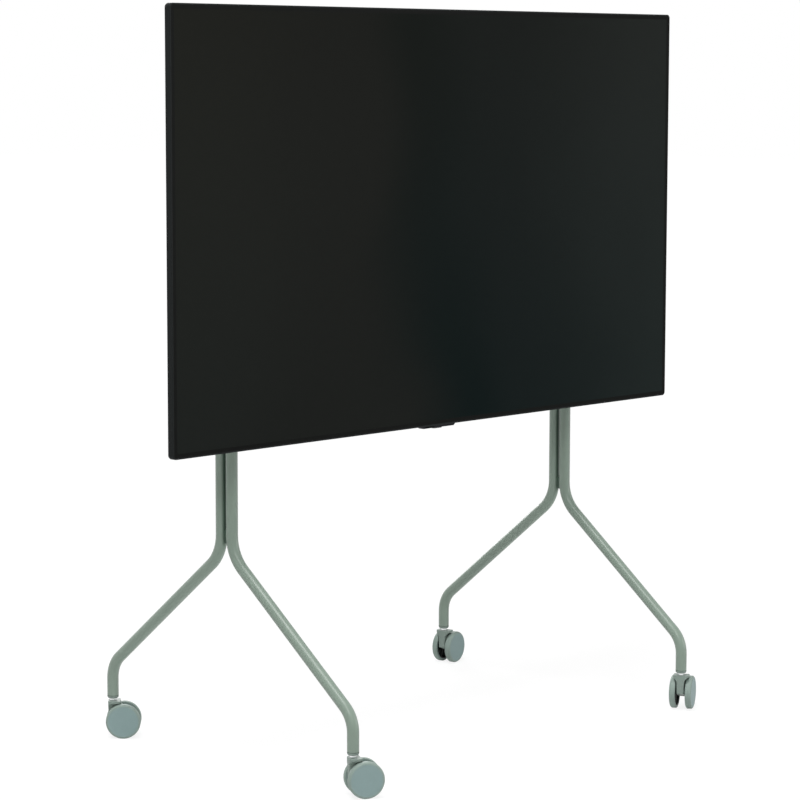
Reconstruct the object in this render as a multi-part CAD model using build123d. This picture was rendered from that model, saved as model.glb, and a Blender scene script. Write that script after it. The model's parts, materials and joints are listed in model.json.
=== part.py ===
from build123d import *
import math
import os

# A large flat display on a mobile stand: two legs of paired bent tube, two cross rails,
# two hooked mounting arms and four twin-wheel castors. Millimetres. The origin is on the
# floor, midway between the legs and midway between the front and rear castor stems.
# +X is to the right of someone facing the display, +Y is behind it, +Z is up.

# Display
SCREEN_WIDTH = 1447.0
SCREEN_HEIGHT = 829.0
SCREEN_BOTTOM = 631.0
SCREEN_FRONT = -106.0
CORNER_RADIUS = 8.0
FRAME_DEPTH = 12.5
FRAME_WALL = 3.0
GLASS_THICKNESS = 3.2
GLASS_RECESS = 0.3
PANEL_THICKNESS = 5.0
CHASSIS_SHEET = 1.2
CHASSIS_RIM = 2.6
SKIRT_THICKNESS = 2.5
SKIRT_INSET = 1.2
BULGE_WIDTH = 1200.0
BULGE_HEIGHT = 640.0
BULGE_DROP = 40.0
BULGE_DEPTH = 30.0
BULGE_TAPER = 35.0
BULGE_CORNER = 30.0
BULGE_EDGE = 4.0
COVER_WALL = 2.5
VENT_COUNT = 22
VENT_PITCH = 22.0
VENT_SIZE = (5.0, 34.0)
VENT_BELOW_TOP = 42.0
RIB_WIDTH = 40.0
RIB_HEIGHT = 560.0
RIB_PROUD = 1.5
SCREW_MARGIN = 43.0
SCREW_SPACING_X = 340.0
STRIP_SHARE = 0.44
COVER_SCREW = {"radius": 2.0, "length": 5.0, "head_radius": 3.2, "head": 1.2}
COVER_BOSS_RADIUS = 4.5

# Recesses for the connectors, seen from behind
PORT_RECESS = (230.0, 64.0)
PORT_RECESS_X = 345.0
INLET_RECESS = (64.0, 52.0)
INLET_RECESS_X = -345.0
RECESS_RISE = 105.0
RECESS_DEPTH = 15.0
RECESS_WALL = 2.0
PORT_PITCH = 30.0
PORT_PROUD = 9.0
PORT_SHEET = 0.6
VIDEO_PORT = (15.2, 5.6)
DATA_PORT = (13.4, 6.2)
NETWORK_PORT = (16.0, 13.5)
INLET_BODY = {"width": 28.0, "height": 21.0, "depth": 11.0, "bevel": 4.0}
INLET_WALL = 2.5
INLET_FLOOR = 1.5
INLET_TOP_WALL = 5.0
INLET_PIN = (2.0, 4.0, 7.5)
PIN_SPREAD = 7.0
PIN_DROP = 3.5
EARTH_PIN_RISE = 0.5

# Boards inside the back cover: place and size, then each component's offset, size and height
BOARD_THICKNESS = 1.6
BOARD_STAND_OFF = 3.0
PILLAR_RADIUS = 3.5
PILLAR_INSET = 8.0
MAIN_BOARD = (205.0, 15.0, 250.0, 200.0)
MAIN_BOARD_PARTS = {"heat_sink": (-55.0, 0.0, 60.0, 60.0, 9.0), "shield": (45.0, -60.0, 40.0, 30.0, 5.0)}
POWER_BOARD = (-195.0, -5.0, 270.0, 220.0)
POWER_BOARD_PARTS = {"coil": (-85.0, 0.0, 40.0, 50.0, 14.0), "capacitors": (15.0, -40.0, 50.0, 40.0, 12.0)}
SPEAKER_X = 420.0
SPEAKER_SIZE = (160.0, 20.0, 26.0)
SPEAKER_RISE = 25.0
CONE_RADIUS = 8.0
GRILLE_COUNT = 18
GRILLE_PITCH = 8.0
GRILLE_SLOT = (3.0, 12.0)

# Sensor housing and power button under the lower edge
HOUSING_LENGTH = 96.0
HOUSING_DEPTH = 14.0
HOUSING_DROP = 5.5
HOUSING_Y = -91.0
HOUSING_WALL = 1.2
HOUSING_END = 4.0
HOUSING_SIDE = 1.4
HOUSING_TAB_WIDTH = 60.0
BUTTON_SIZE = (22.0, 8.6)
BUTTON_PROUD = 2.2
BUTTON_FLANGE = (25.0, 10.2)
BUTTON_FLANGE_THICKNESS = 0.8
BUTTON_GAP = 0.3

# Mounting hole square on the back of the display
HOLE_PITCH = 400.0
BOSS_RADIUS = 9.0
MOUNT_SCREW_RADIUS = 4.0
MOUNT_SCREW_REACH = 18.0

# Legs
LEG_X = 492.5
TUBE_RADIUS = 11.5
TUBE_WALL = 1.5
TUBE_SPACING = 29.2
POST_ABOVE_RAIL = 45.0
UPPER_BEND_Z = 415.0
LOWER_BEND_RISE = 64.0
FOOT_REACH = 340.0
UPPER_BEND_RADIUS = 80.0
LOWER_BEND_RADIUS = 60.0
SPACER_HEIGHT = 26.0
SPACER_WIDTH = 6.0
SPACER_RISES = (35.0, 245.0)
CAP_THICKNESS = 3.0
CAP_PLUG = 14.0

# Cross rails between the posts
RAIL_OFFSET = 145.0
RAIL_DEPTH = 25.0
RAIL_HEIGHT = 40.0
RAIL_WALL = 2.0
SADDLE_THICKNESS = 6.0
SADDLE_SEAT = 1.6
FLANGE_THICKNESS = 4.0
FLANGE_DEPTH = 50.0
FLANGE_HEIGHT = 78.0
RAIL_SCREW_OFFSET = 30.0
RAIL_SCREW_RADIUS = 3.0
RAIL_SCREW_LENGTH = 16.0

# Mounting arms: channels that hook over the upper rail
ARM_WIDTH = 32.0
ARM_SHEET = 2.5
ARM_BEYOND_HOLE = 30.0
ARM_REAR_Y = -26.0
HOOK_REACH = 8.0
HOOK_ABOVE = 22.0
HOOK_DROP = 30.0
LOCK_TAB = 14.0
LOCK_SCREW_RADIUS = 3.0

# Castors
SOCKET_NOSE = 6.0
SOCKET_ROUND = 4.5
SOCKET_DEPTH = 34.0
STEM_RADIUS = 5.0
STEM_IN_SOCKET = 34.0
STEM_ABOVE_AXLE = 13.0
COLLAR_RADIUS = 6.5
COLLAR_HEIGHT = 4.2
COLLAR_GAP = 0.3
TRAIL = 21.0
WHEEL_RADIUS = 35.0
WHEEL_WIDTH = 13.0
TRACK_WIDTH = 47.0
WHEEL_SHOULDER = 4.5
WHEEL_DISC = 3.0
WHEEL_RIM = 6.5
WHEEL_BEVEL = 1.5
AXLE_RADIUS = 4.0
RUNNING_GAP = 0.05
HUB_RADIUS = 9.5
HUB_BOSS_RADIUS = 7.0
BODY_FRONT = -9.5
BODY_BACK = 14.0
NOSE_HALF_WIDTH = 16.0
TONGUE_HALF_WIDTH = 8.0
BODY_ABOVE_WHEEL = 5.5
NOSE_LIP = 4.5
NOSE_DEPTH = 15.5
NOSE_CORNER = 7.0
TONGUE_CORNER = 3.0
BODY_SLOPE = (3.0, 7.0)
SIDE_GAP = 0.3
BACK_RISE = 12.0
TONGUE_ABOVE_AXLE = 2.0
WHEEL_CLEARANCE = 2.5

# Where each castor stands and which way it trails, in degrees from +X
CASTORS = {
    "front_left": (-1, -1, -32.0),
    "rear_left": (-1, 1, -44.0),
    "front_right": (1, -1, 27.5),
    "rear_right": (1, 1, 11.0),
}

# Heights that follow from the sizes above
SCREEN_MID_Z = SCREEN_BOTTOM + SCREEN_HEIGHT / 2
SCREEN_TOP = SCREEN_BOTTOM + SCREEN_HEIGHT
BULGE_CENTRE_Z = SCREEN_MID_Z - BULGE_DROP
BULGE_BOTTOM = BULGE_CENTRE_Z - BULGE_HEIGHT / 2
BULGE_TOP = BULGE_CENTRE_Z + BULGE_HEIGHT / 2
STRIP_LEVEL = SCREEN_BOTTOM + STRIP_SHARE * (BULGE_BOTTOM - SCREEN_BOTTOM)
RECESS_Z = BULGE_BOTTOM + RECESS_RISE
VENT_Z = BULGE_TOP - VENT_BELOW_TOP
RAIL_LEVELS = {"lower": SCREEN_MID_Z - RAIL_OFFSET, "upper": SCREEN_MID_Z + RAIL_OFFSET}
POST_TOP = RAIL_LEVELS["upper"] + POST_ABOVE_RAIL
ARM_BOTTOM = SCREEN_MID_Z - HOLE_PITCH / 2 - ARM_BEYOND_HOLE
ARM_TOP = SCREEN_MID_Z + HOLE_PITCH / 2 + ARM_BEYOND_HOLE
CASTOR_TOP = 2 * WHEEL_RADIUS + BODY_ABOVE_WHEEL
NOSE_BOTTOM = CASTOR_TOP + COLLAR_GAP + COLLAR_HEIGHT
TUBE_END_Z = NOSE_BOTTOM + SOCKET_NOSE
LOWER_BEND_Z = TUBE_END_Z + LOWER_BEND_RISE
STEM_TOP = NOSE_BOTTOM + STEM_IN_SOCKET
STEM_BOTTOM = WHEEL_RADIUS + STEM_ABOVE_AXLE
TONGUE_BOTTOM = WHEEL_RADIUS + TONGUE_ABOVE_AXLE


def save(name, shape):
    """Writes one named piece, or one group of identical pieces."""
    solids = shape.solids() if hasattr(shape, "solids") else shape
    export_step(Compound(children=list(solids)) if len(solids) > 1 else solids[0], f"parts/{name}.step")


def block(x_range, y_range, z_range):
    """A box given by its low and high limit on each axis."""
    size = [high - low for low, high in (x_range, y_range, z_range)]
    middle = [(high + low) / 2 for low, high in (x_range, y_range, z_range)]
    return Pos(*middle) * Box(*size)


def rod(start, direction, radius, length):
    """A cylinder from a start point along a direction."""
    plane = Plane(origin=start, z_dir=direction)
    return extrude(plane * Circle(radius), length)


def facing_back(x, y, z):
    """A sketch plane looking along +Y, with its own x to the left and y up."""
    return Plane(origin=(x, y, z), x_dir=(-1, 0, 0), z_dir=(0, 1, 0))


def side_plane(x):
    """A sketch plane whose own x is +Y and own y is +Z."""
    return Plane(origin=(x, 0, 0), x_dir=(0, 1, 0), z_dir=(1, 0, 0))


# ---------------------------------------------------------------- legs


def leg_path(x, side):
    """The centre line of one tube: post, slope and foot joined by two arcs."""
    post_y = TUBE_SPACING / 2
    slope = math.atan2(FOOT_REACH - post_y, UPPER_BEND_Z - LOWER_BEND_Z)
    upper_run = UPPER_BEND_RADIUS * math.tan(slope / 2)
    lower_run = LOWER_BEND_RADIUS * math.tan(slope / 2)

    def at(y, z):
        return (x, side * y, z)

    def on_upper(angle):
        return at(
            post_y + UPPER_BEND_RADIUS * (1 - math.cos(angle)),
            UPPER_BEND_Z + upper_run - UPPER_BEND_RADIUS * math.sin(angle),
        )

    def on_lower(angle):
        return at(
            FOOT_REACH - LOWER_BEND_RADIUS * (1 - math.cos(angle)),
            LOWER_BEND_Z - lower_run + LOWER_BEND_RADIUS * math.sin(angle),
        )

    post = Line(at(post_y, POST_TOP), on_upper(0))
    upper_bend = ThreePointArc(on_upper(0), on_upper(slope / 2), on_upper(slope))
    brace = Line(on_upper(slope), on_lower(slope))
    lower_bend = ThreePointArc(on_lower(slope), on_lower(slope / 2), on_lower(0))
    foot = Line(on_lower(0), at(FOOT_REACH, TUBE_END_Z))
    return Wire([post, upper_bend, brace, lower_bend, foot])


def leg_tube(x, side):
    """One bent tube, open at both ends."""
    path = leg_path(x, side)
    start = Plane(origin=(x, side * TUBE_SPACING / 2, POST_TOP), z_dir=(0, 0, -1))
    ring = Circle(TUBE_RADIUS) - Circle(TUBE_RADIUS - TUBE_WALL)
    return sweep(start * ring, path=path)


def post_rods(x, low, high, radius):
    """Two upright cylinders on the axes of a pair of posts."""
    pair = [rod((x, side * TUBE_SPACING / 2, low), (0, 0, 1), radius, high - low) for side in (-1, 1)]
    return pair[0] + pair[1]


def spacer(x, level):
    """A block nested between the two posts of a leg."""
    half = TUBE_SPACING / 2 - TUBE_RADIUS / 2
    low, high = level - SPACER_HEIGHT / 2, level + SPACER_HEIGHT / 2
    body = block((x - SPACER_WIDTH / 2, x + SPACER_WIDTH / 2), (-half, half), (low, high))
    return body - post_rods(x, low, high, TUBE_RADIUS)


def post_cap(x):
    """A moulded cap over both posts, with a plug down each tube."""
    outline = SlotCenterToCenter(TUBE_SPACING, 2 * TUBE_RADIUS, rotation=90)
    lid = extrude(Pos(x, 0, POST_TOP) * outline, CAP_THICKNESS)
    lid = fillet(lid.faces().sort_by(Axis.Z)[-1].edges(), 1.2)
    return lid + post_rods(x, POST_TOP - CAP_PLUG, POST_TOP, TUBE_RADIUS - TUBE_WALL)


# ---------------------------------------------------------------- cross rails

SADDLE_OUTER_X = LEG_X - TUBE_RADIUS + SADDLE_SEAT
SADDLE_INNER_X = SADDLE_OUTER_X - SADDLE_THICKNESS
FLANGE_INNER_X = SADDLE_INNER_X - FLANGE_THICKNESS


def mirrored_range(side, low, high):
    """Limits between two distances from the middle, on the side asked for."""
    return (low, high) if side > 0 else (-high, -low)


def rail_screw_places(level):
    """Heights of the two screws at each end of a rail."""
    return (level - RAIL_SCREW_OFFSET, level + RAIL_SCREW_OFFSET)


def saddle_plate(side, level):
    """A welded plate with a shallow seat for each post and two tapped holes."""
    half = FLANGE_HEIGHT / 2
    limits = mirrored_range(side, SADDLE_INNER_X, SADDLE_OUTER_X)
    plate = block(limits, (-FLANGE_DEPTH / 2, FLANGE_DEPTH / 2), (level - half, level + half))
    plate -= post_rods(side * LEG_X, level - half, level + half, TUBE_RADIUS)
    for z in rail_screw_places(level):
        plate -= rod((side * SADDLE_INNER_X, 0, z), (side, 0, 0), RAIL_SCREW_RADIUS, SADDLE_THICKNESS)
    return plate


def rail(level):
    """A rectangular tube with a drilled flange welded to each end."""
    z_limits = (level - RAIL_HEIGHT / 2, level + RAIL_HEIGHT / 2)
    y_limits = (-RAIL_DEPTH / 2, RAIL_DEPTH / 2)
    body = block((-FLANGE_INNER_X, FLANGE_INNER_X), y_limits, z_limits)
    body = fillet(body.edges().filter_by(Axis.X), 3.0)
    hollow_y = (y_limits[0] + RAIL_WALL, y_limits[1] - RAIL_WALL)
    hollow_z = (z_limits[0] + RAIL_WALL, z_limits[1] - RAIL_WALL)
    body -= block((-FLANGE_INNER_X, FLANGE_INNER_X), hollow_y, hollow_z)
    for side in (-1, 1):
        limits = mirrored_range(side, FLANGE_INNER_X, SADDLE_INNER_X)
        half = FLANGE_HEIGHT / 2
        flange = block(limits, (-FLANGE_DEPTH / 2, FLANGE_DEPTH / 2), (level - half, level + half))
        flange = fillet(flange.edges().filter_by(Axis.X), 5.0)
        for z in rail_screw_places(level):
            flange -= rod((side * FLANGE_INNER_X, 0, z), (side, 0, 0), RAIL_SCREW_RADIUS, FLANGE_THICKNESS)
        body += flange
    return body


def cap_screw(seat, direction, radius, length):
    """A socket screw whose head rests on the seat point and whose shank goes along direction."""
    away = tuple(-d for d in direction)
    shank = rod(seat, direction, radius, length)
    head = rod(seat, away, 1.7 * radius, 1.8 * radius)
    tip = Vector(seat) + Vector(away) * (0.8 * radius)
    plane = Plane(origin=tip, z_dir=away)
    socket = extrude(plane * RegularPolygon(0.95 * radius, 6), 1.0 * radius)
    return shank + head - socket


# ---------------------------------------------------------------- mounting arms

COVER_BACK = SCREEN_FRONT + FRAME_DEPTH + SKIRT_THICKNESS + BULGE_DEPTH


def mounting_arm(x):
    """A folded channel: a drilled web on the display and two cheeks that hook on the rails."""
    rail_front = -RAIL_DEPTH / 2
    rail_back = RAIL_DEPTH / 2
    upper_top = RAIL_LEVELS["upper"] + RAIL_HEIGHT / 2
    lower_bottom = RAIL_LEVELS["lower"] - RAIL_HEIGHT / 2
    lower_top = RAIL_LEVELS["lower"] + RAIL_HEIGHT / 2
    hook_tip = upper_top - HOOK_DROP
    outline = [
        (COVER_BACK, ARM_BOTTOM),
        (ARM_REAR_Y, ARM_BOTTOM),
        (rail_front, lower_bottom - LOCK_TAB),
        (rail_back, lower_bottom - LOCK_TAB),
        (rail_back, lower_bottom),
        (rail_front, lower_bottom),
        (rail_front, lower_top),
        (ARM_REAR_Y, lower_top + LOCK_TAB),
        (ARM_REAR_Y, hook_tip - LOCK_TAB),
        (rail_front, hook_tip),
        (rail_front, upper_top),
        (rail_back, upper_top),
        (rail_back, hook_tip),
        (rail_back + HOOK_REACH, hook_tip),
        (rail_back + HOOK_REACH, upper_top + HOOK_ABOVE / 2),
        (rail_back, upper_top + HOOK_ABOVE),
        (ARM_REAR_Y, ARM_TOP),
        (COVER_BACK, ARM_TOP),
    ]
    half = ARM_WIDTH / 2
    arm = extrude(side_plane(x - half) * make_face(Polyline(*outline, close=True)), ARM_WIDTH)
    inner = (x - half + ARM_SHEET, x + half - ARM_SHEET)
    arm -= block(inner, (COVER_BACK + ARM_SHEET, rail_back + HOOK_REACH), (ARM_BOTTOM, ARM_TOP))
    tab = (lower_bottom - LOCK_TAB, lower_bottom - LOCK_TAB + ARM_SHEET)
    arm += block(inner, (rail_front, rail_back), tab)
    arm -= rod((x, 0, tab[0]), (0, 0, 1), LOCK_SCREW_RADIUS, ARM_SHEET)
    for z in hole_levels():
        arm -= rod((x, COVER_BACK, z), (0, 1, 0), MOUNT_SCREW_RADIUS, ARM_SHEET)
    return arm


def hole_levels():
    """Heights of the two rows of mounting holes."""
    return (SCREEN_MID_Z - HOLE_PITCH / 2, SCREEN_MID_Z + HOLE_PITCH / 2)


def hole_places():
    """The four mounting holes, as (x, z)."""
    return [(x, z) for x in (-HOLE_PITCH / 2, HOLE_PITCH / 2) for z in hole_levels()]


# ---------------------------------------------------------------- display

FRAME_BACK = SCREEN_FRONT + FRAME_DEPTH
SKIRT_BACK = FRAME_BACK + SKIRT_THICKNESS
GLASS_FRONT = SCREEN_FRONT + GLASS_RECESS
GLASS_BACK = GLASS_FRONT + GLASS_THICKNESS
PANEL_BACK = GLASS_BACK + PANEL_THICKNESS
CHASSIS_BACK = PANEL_BACK + CHASSIS_SHEET


def screen_plate(front, back, inset, radius):
    """A rounded plate the size of the display less an inset all round."""
    outline = RectangleRounded(SCREEN_WIDTH - 2 * inset, SCREEN_HEIGHT - 2 * inset, radius)
    return extrude(facing_back(0, front, SCREEN_MID_Z) * outline, back - front)


def bezel_frame():
    """The slim outer frame that shows as the display's edge."""
    outer = screen_plate(SCREEN_FRONT, FRAME_BACK, 0, CORNER_RADIUS)
    outer = chamfer(outer.faces().sort_by(Axis.Y)[0].edges(), 0.6)
    return outer - screen_plate(SCREEN_FRONT, FRAME_BACK, FRAME_WALL, CORNER_RADIUS - FRAME_WALL)


def backlight_chassis():
    """A pressed steel tray with a turned rim and stiffening ribs."""
    radius = CORNER_RADIUS - FRAME_WALL
    tray = screen_plate(PANEL_BACK, CHASSIS_BACK + CHASSIS_RIM, FRAME_WALL, radius)
    tray -= screen_plate(CHASSIS_BACK, CHASSIS_BACK + CHASSIS_RIM, FRAME_WALL + CHASSIS_SHEET, radius - 1)
    rib_z = (SCREEN_MID_Z - RIB_HEIGHT / 2, SCREEN_MID_Z + RIB_HEIGHT / 2)
    for x in (-HOLE_PITCH / 2, HOLE_PITCH / 2):
        rib_x = (x - RIB_WIDTH / 2, x + RIB_WIDTH / 2)
        tray += block(rib_x, (CHASSIS_BACK, CHASSIS_BACK + RIB_PROUD), rib_z)
    for x, z in cover_screw_places():
        tray += rod((x, CHASSIS_BACK, z), (0, 1, 0), COVER_BOSS_RADIUS, FRAME_BACK - CHASSIS_BACK)
        tray -= rod((x, CHASSIS_BACK, z), (0, 1, 0), COVER_SCREW["radius"], FRAME_BACK - CHASSIS_BACK)
    return tray


def bulge(front, back, shrink):
    """The tapered housing on the back of the display, less a wall all round."""
    outline = RectangleRounded(BULGE_WIDTH - 2 * shrink, BULGE_HEIGHT - 2 * shrink, BULGE_CORNER - shrink)
    return extrude(facing_back(0, front, BULGE_CENTRE_Z) * outline, back - front, taper=BULGE_TAPER)


def recess_block(x, size, grow, front, back):
    """The space of a connector recess, or that space with its walls."""
    width, height = size[0] / 2 + grow, size[1] / 2 + grow
    return block((x - width, x + width), (front, back), (RECESS_Z - height, RECESS_Z + height))


def speaker_grille(side):
    """A row of slots through the lower slope of the bulge, under the speaker cones."""
    width, length = GRILLE_SLOT
    middle_y = SKIRT_BACK + BULGE_DEPTH / 2
    y_limits = (middle_y - length / 2, middle_y + length / 2)
    slots = []
    for n in range(GRILLE_COUNT):
        x = side * SPEAKER_X + (n - (GRILLE_COUNT - 1) / 2) * GRILLE_PITCH
        z_limits = (BULGE_BOTTOM, BULGE_BOTTOM + BULGE_DEPTH)
        slots.append(block((x - width / 2, x + width / 2), y_limits, z_limits))
    return slots


def rear_cover():
    """The back shell: a flat skirt, the tapered bulge, vents, grilles and openings."""
    shell = bulge(SKIRT_BACK, COVER_BACK, 0)
    shell = fillet(shell.faces().sort_by(Axis.Y)[-1].edges(), BULGE_EDGE)
    shell += screen_plate(FRAME_BACK, SKIRT_BACK, SKIRT_INSET, CORNER_RADIUS - SKIRT_INSET)
    shell -= bulge(FRAME_BACK, COVER_BACK - COVER_WALL, 2 * COVER_WALL)
    shell -= Compound(children=speaker_grille(-1) + speaker_grille(1))
    for x, z in cover_screw_places():
        shell -= rod((x, FRAME_BACK, z), (0, 1, 0), COVER_SCREW["radius"], SKIRT_THICKNESS)
    for size, x in ((PORT_RECESS, PORT_RECESS_X), (INLET_RECESS, INLET_RECESS_X)):
        shell -= recess_block(x, size, RECESS_WALL, COVER_BACK - COVER_WALL, COVER_BACK)
    slots = []
    for n in range(VENT_COUNT):
        x = (n - (VENT_COUNT - 1) / 2) * VENT_PITCH
        if min(abs(x - HOLE_PITCH / 2), abs(x + HOLE_PITCH / 2)) > ARM_WIDTH:
            slots.append(Pos(x, 0) * Rectangle(*VENT_SIZE))
    vents = facing_back(0, COVER_BACK - COVER_WALL, VENT_Z) * Sketch(children=slots)
    shell -= extrude(vents, COVER_WALL)
    for x, z in hole_places():
        shell -= rod((x, COVER_BACK - COVER_WALL, z), (0, 1, 0), BOSS_RADIUS, COVER_WALL)
    return shell


def mounting_boss(x, z):
    """A tapped pillar between the chassis and the back cover."""
    start = CHASSIS_BACK + RIB_PROUD
    pillar = rod((x, start, z), (0, 1, 0), BOSS_RADIUS, COVER_BACK - start)
    bore_start = COVER_BACK - MOUNT_SCREW_REACH - 2
    return pillar - rod((x, bore_start, z), (0, 1, 0), MOUNT_SCREW_RADIUS, COVER_BACK - bore_start)


def recess_tray(x, size):
    """A moulded tray let into the back cover around a group of connectors."""
    floor = COVER_BACK - RECESS_DEPTH
    tray = recess_block(x, size, RECESS_WALL, floor - RECESS_WALL, COVER_BACK)
    return tray - recess_block(x, size, 0, floor, COVER_BACK)


def port_shell(x, size):
    """A metal connector shell standing on the recess floor, open to the rear."""
    floor = COVER_BACK - RECESS_DEPTH
    tip = floor + PORT_PROUD
    half_w, half_h = size[0] / 2, size[1] / 2
    shell = block((x - half_w, x + half_w), (floor, tip), (RECESS_Z - half_h, RECESS_Z + half_h))
    inner_w, inner_h = half_w - PORT_SHEET, half_h - PORT_SHEET
    shell -= block((x - inner_w, x + inner_w), (floor + 1, tip), (RECESS_Z - inner_h, RECESS_Z + inner_h))
    return shell + block((x - half_w / 2, x + half_w / 2), (floor, tip - 2), (RECESS_Z - 0.8, RECESS_Z + 0.8))


def ports():
    """Video, data and network sockets in a row."""
    sizes = [VIDEO_PORT] * 3 + [DATA_PORT] * 2 + [NETWORK_PORT, VIDEO_PORT]
    start = PORT_RECESS_X - PORT_PITCH * (len(sizes) - 1) / 2
    return [port_shell(start + n * PORT_PITCH, size) for n, size in enumerate(sizes)]


def power_inlet():
    """A three-pole appliance inlet with a shrouded recess."""
    floor = COVER_BACK - RECESS_DEPTH
    rear = floor + INLET_BODY["depth"]
    x, z = INLET_RECESS_X, RECESS_Z
    half_x, half_z = INLET_BODY["width"] / 2, INLET_BODY["height"] / 2
    body = block((x - half_x, x + half_x), (floor, rear), (z - half_z, z + half_z))
    body = chamfer(body.edges().filter_by(Axis.Y).group_by(Axis.Z)[-1], INLET_BODY["bevel"])
    inner_x = (x - half_x + INLET_WALL, x + half_x - INLET_WALL)
    inner_z = (z - half_z + INLET_WALL, z + half_z - INLET_TOP_WALL)
    return body - block(inner_x, (floor + INLET_FLOOR, rear), inner_z)


def inlet_pins():
    """The three flat pins inside the inlet."""
    floor = COVER_BACK - RECESS_DEPTH + INLET_FLOOR
    wide, tall, reach = INLET_PIN
    places = [(-PIN_SPREAD, -PIN_DROP), (0, EARTH_PIN_RISE), (PIN_SPREAD, -PIN_DROP)]
    pins = []
    for dx, dz in places:
        x, z = INLET_RECESS_X + dx, RECESS_Z + dz
        pins.append(block((x - wide / 2, x + wide / 2), (floor, floor + reach), (z - tall / 2, z + tall / 2)))
    return pins


def circuit_board(layout, components):
    """A board on four pillars, with its taller components standing on it."""
    centre_x, rise, width, height = layout
    centre_z = SCREEN_MID_Z + rise
    low = CHASSIS_BACK + RIB_PROUD + BOARD_STAND_OFF
    high = low + BOARD_THICKNESS
    x_limits = (centre_x - width / 2, centre_x + width / 2)
    z_limits = (centre_z - height / 2, centre_z + height / 2)
    board = block(x_limits, (low, high), z_limits)
    for dx, dz, wide, tall, proud in components.values():
        x, z = centre_x + dx, centre_z + dz
        board += block((x - wide / 2, x + wide / 2), (high, high + proud), (z - tall / 2, z + tall / 2))
    return board


def board_pillars(layout):
    """Four short pillars that hold a board off the chassis."""
    centre_x, rise, width, height = layout
    pillars = []
    reach_x, reach_z = width / 2 - PILLAR_INSET, height / 2 - PILLAR_INSET
    for dx in (-reach_x, reach_x):
        for dz in (-reach_z, reach_z):
            x, z = centre_x + dx, SCREEN_MID_Z + rise + dz
            over_rib = abs(abs(x) - HOLE_PITCH / 2) < RIB_WIDTH / 2
            start = CHASSIS_BACK + (RIB_PROUD if over_rib else 0)
            length = CHASSIS_BACK + RIB_PROUD + BOARD_STAND_OFF - start
            pillars.append(rod((x, start, z), (0, 1, 0), PILLAR_RADIUS, length))
    return pillars


def speaker(side):
    """A closed speaker box with its cones facing down."""
    width, depth, height = SPEAKER_SIZE
    x = side * SPEAKER_X
    low = BULGE_BOTTOM + SPEAKER_RISE
    x_limits = (x - width / 2, x + width / 2)
    box = block(x_limits, (CHASSIS_BACK, CHASSIS_BACK + depth), (low, low + height))
    for offset in (-width / 4, 0, width / 4):
        box -= rod((x + offset, CHASSIS_BACK + depth / 2, low), (0, 0, 1), CONE_RADIUS, CONE_RADIUS / 2)
    return box


def cover_screw_places():
    """Where screws go through the back cover's skirt, as (x, z)."""
    far_x = SCREEN_WIDTH / 2 - SCREW_MARGIN
    far_z = SCREEN_HEIGHT / 2 - SCREW_MARGIN
    places = []
    for side in (-1, 1):
        places += [(side * far_x, SCREEN_MID_Z + dz) for dz in (-far_z, 0, far_z)]
        places += [(side * SCREW_SPACING_X, level) for level in (STRIP_LEVEL, SCREEN_TOP - SCREW_MARGIN)]
    return places


def cover_screws():
    """Flat-headed screws that hold the back cover's skirt to bosses on the chassis."""
    screws = []
    for x, z in cover_screw_places():
        head = rod((x, SKIRT_BACK, z), (0, 1, 0), COVER_SCREW["head_radius"], COVER_SCREW["head"])
        shank = rod((x, SKIRT_BACK, z), (0, -1, 0), COVER_SCREW["radius"], COVER_SCREW["length"])
        screws.append(head + shank)
    return screws


# ---------------------------------------------------------------- sensor housing and button

HOUSING_BOTTOM = SCREEN_BOTTOM - HOUSING_DROP
HOUSING_FLOOR = HOUSING_BOTTOM + HOUSING_WALL
HOUSING_CEILING = SCREEN_BOTTOM - 0.8
SENSOR_BOARD_BOTTOM = HOUSING_CEILING - 1.0


def housing_block(end_inset, side_inset, low, high):
    """A block centred on the sensor housing, less an inset at the ends and at the sides."""
    half_x, half_y = HOUSING_LENGTH / 2 - end_inset, HOUSING_DEPTH / 2 - side_inset
    return block((-half_x, half_x), (HOUSING_Y - half_y, HOUSING_Y + half_y), (low, high))


def sensor_housing():
    """A low moulded box under the display's edge, with an opening for the button and a rear tab."""
    shell = housing_block(0, 0, HOUSING_BOTTOM, SCREEN_BOTTOM)
    lower_ends = shell.edges().filter_by(Axis.Y).group_by(Axis.Z)[0]
    shell = chamfer(lower_ends, 3.5)
    shell -= housing_block(HOUSING_END, HOUSING_SIDE, HOUSING_FLOOR, HOUSING_CEILING)
    half_x = BUTTON_SIZE[0] / 2 + BUTTON_GAP
    half_y = BUTTON_SIZE[1] / 2 + BUTTON_GAP
    opening = ((-half_x, half_x), (HOUSING_Y - half_y, HOUSING_Y + half_y))
    shell -= block(*opening, (HOUSING_BOTTOM, HOUSING_FLOOR))
    tab_y = (SKIRT_BACK, HOUSING_Y + HOUSING_DEPTH / 2 - 2)
    half_tab = HOUSING_TAB_WIDTH / 2
    return shell + block((-half_tab, half_tab), tab_y, (SCREEN_BOTTOM, STRIP_LEVEL))


def power_button():
    """A bar that is pushed up, kept in by a flange inside the housing."""
    flange_low = HOUSING_FLOOR + BUTTON_GAP
    half_x, half_y = BUTTON_SIZE[0] / 2, BUTTON_SIZE[1] / 2
    limits = ((-half_x, half_x), (HOUSING_Y - half_y, HOUSING_Y + half_y))
    bar = block(*limits, (HOUSING_BOTTOM - BUTTON_PROUD, flange_low))
    bar = fillet(bar.faces().sort_by(Axis.Z)[0].edges(), 0.8)
    half_x, half_y = BUTTON_FLANGE[0] / 2, BUTTON_FLANGE[1] / 2
    limits = ((-half_x, half_x), (HOUSING_Y - half_y, HOUSING_Y + half_y))
    return bar + block(*limits, (flange_low, flange_low + BUTTON_FLANGE_THICKNESS))


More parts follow.
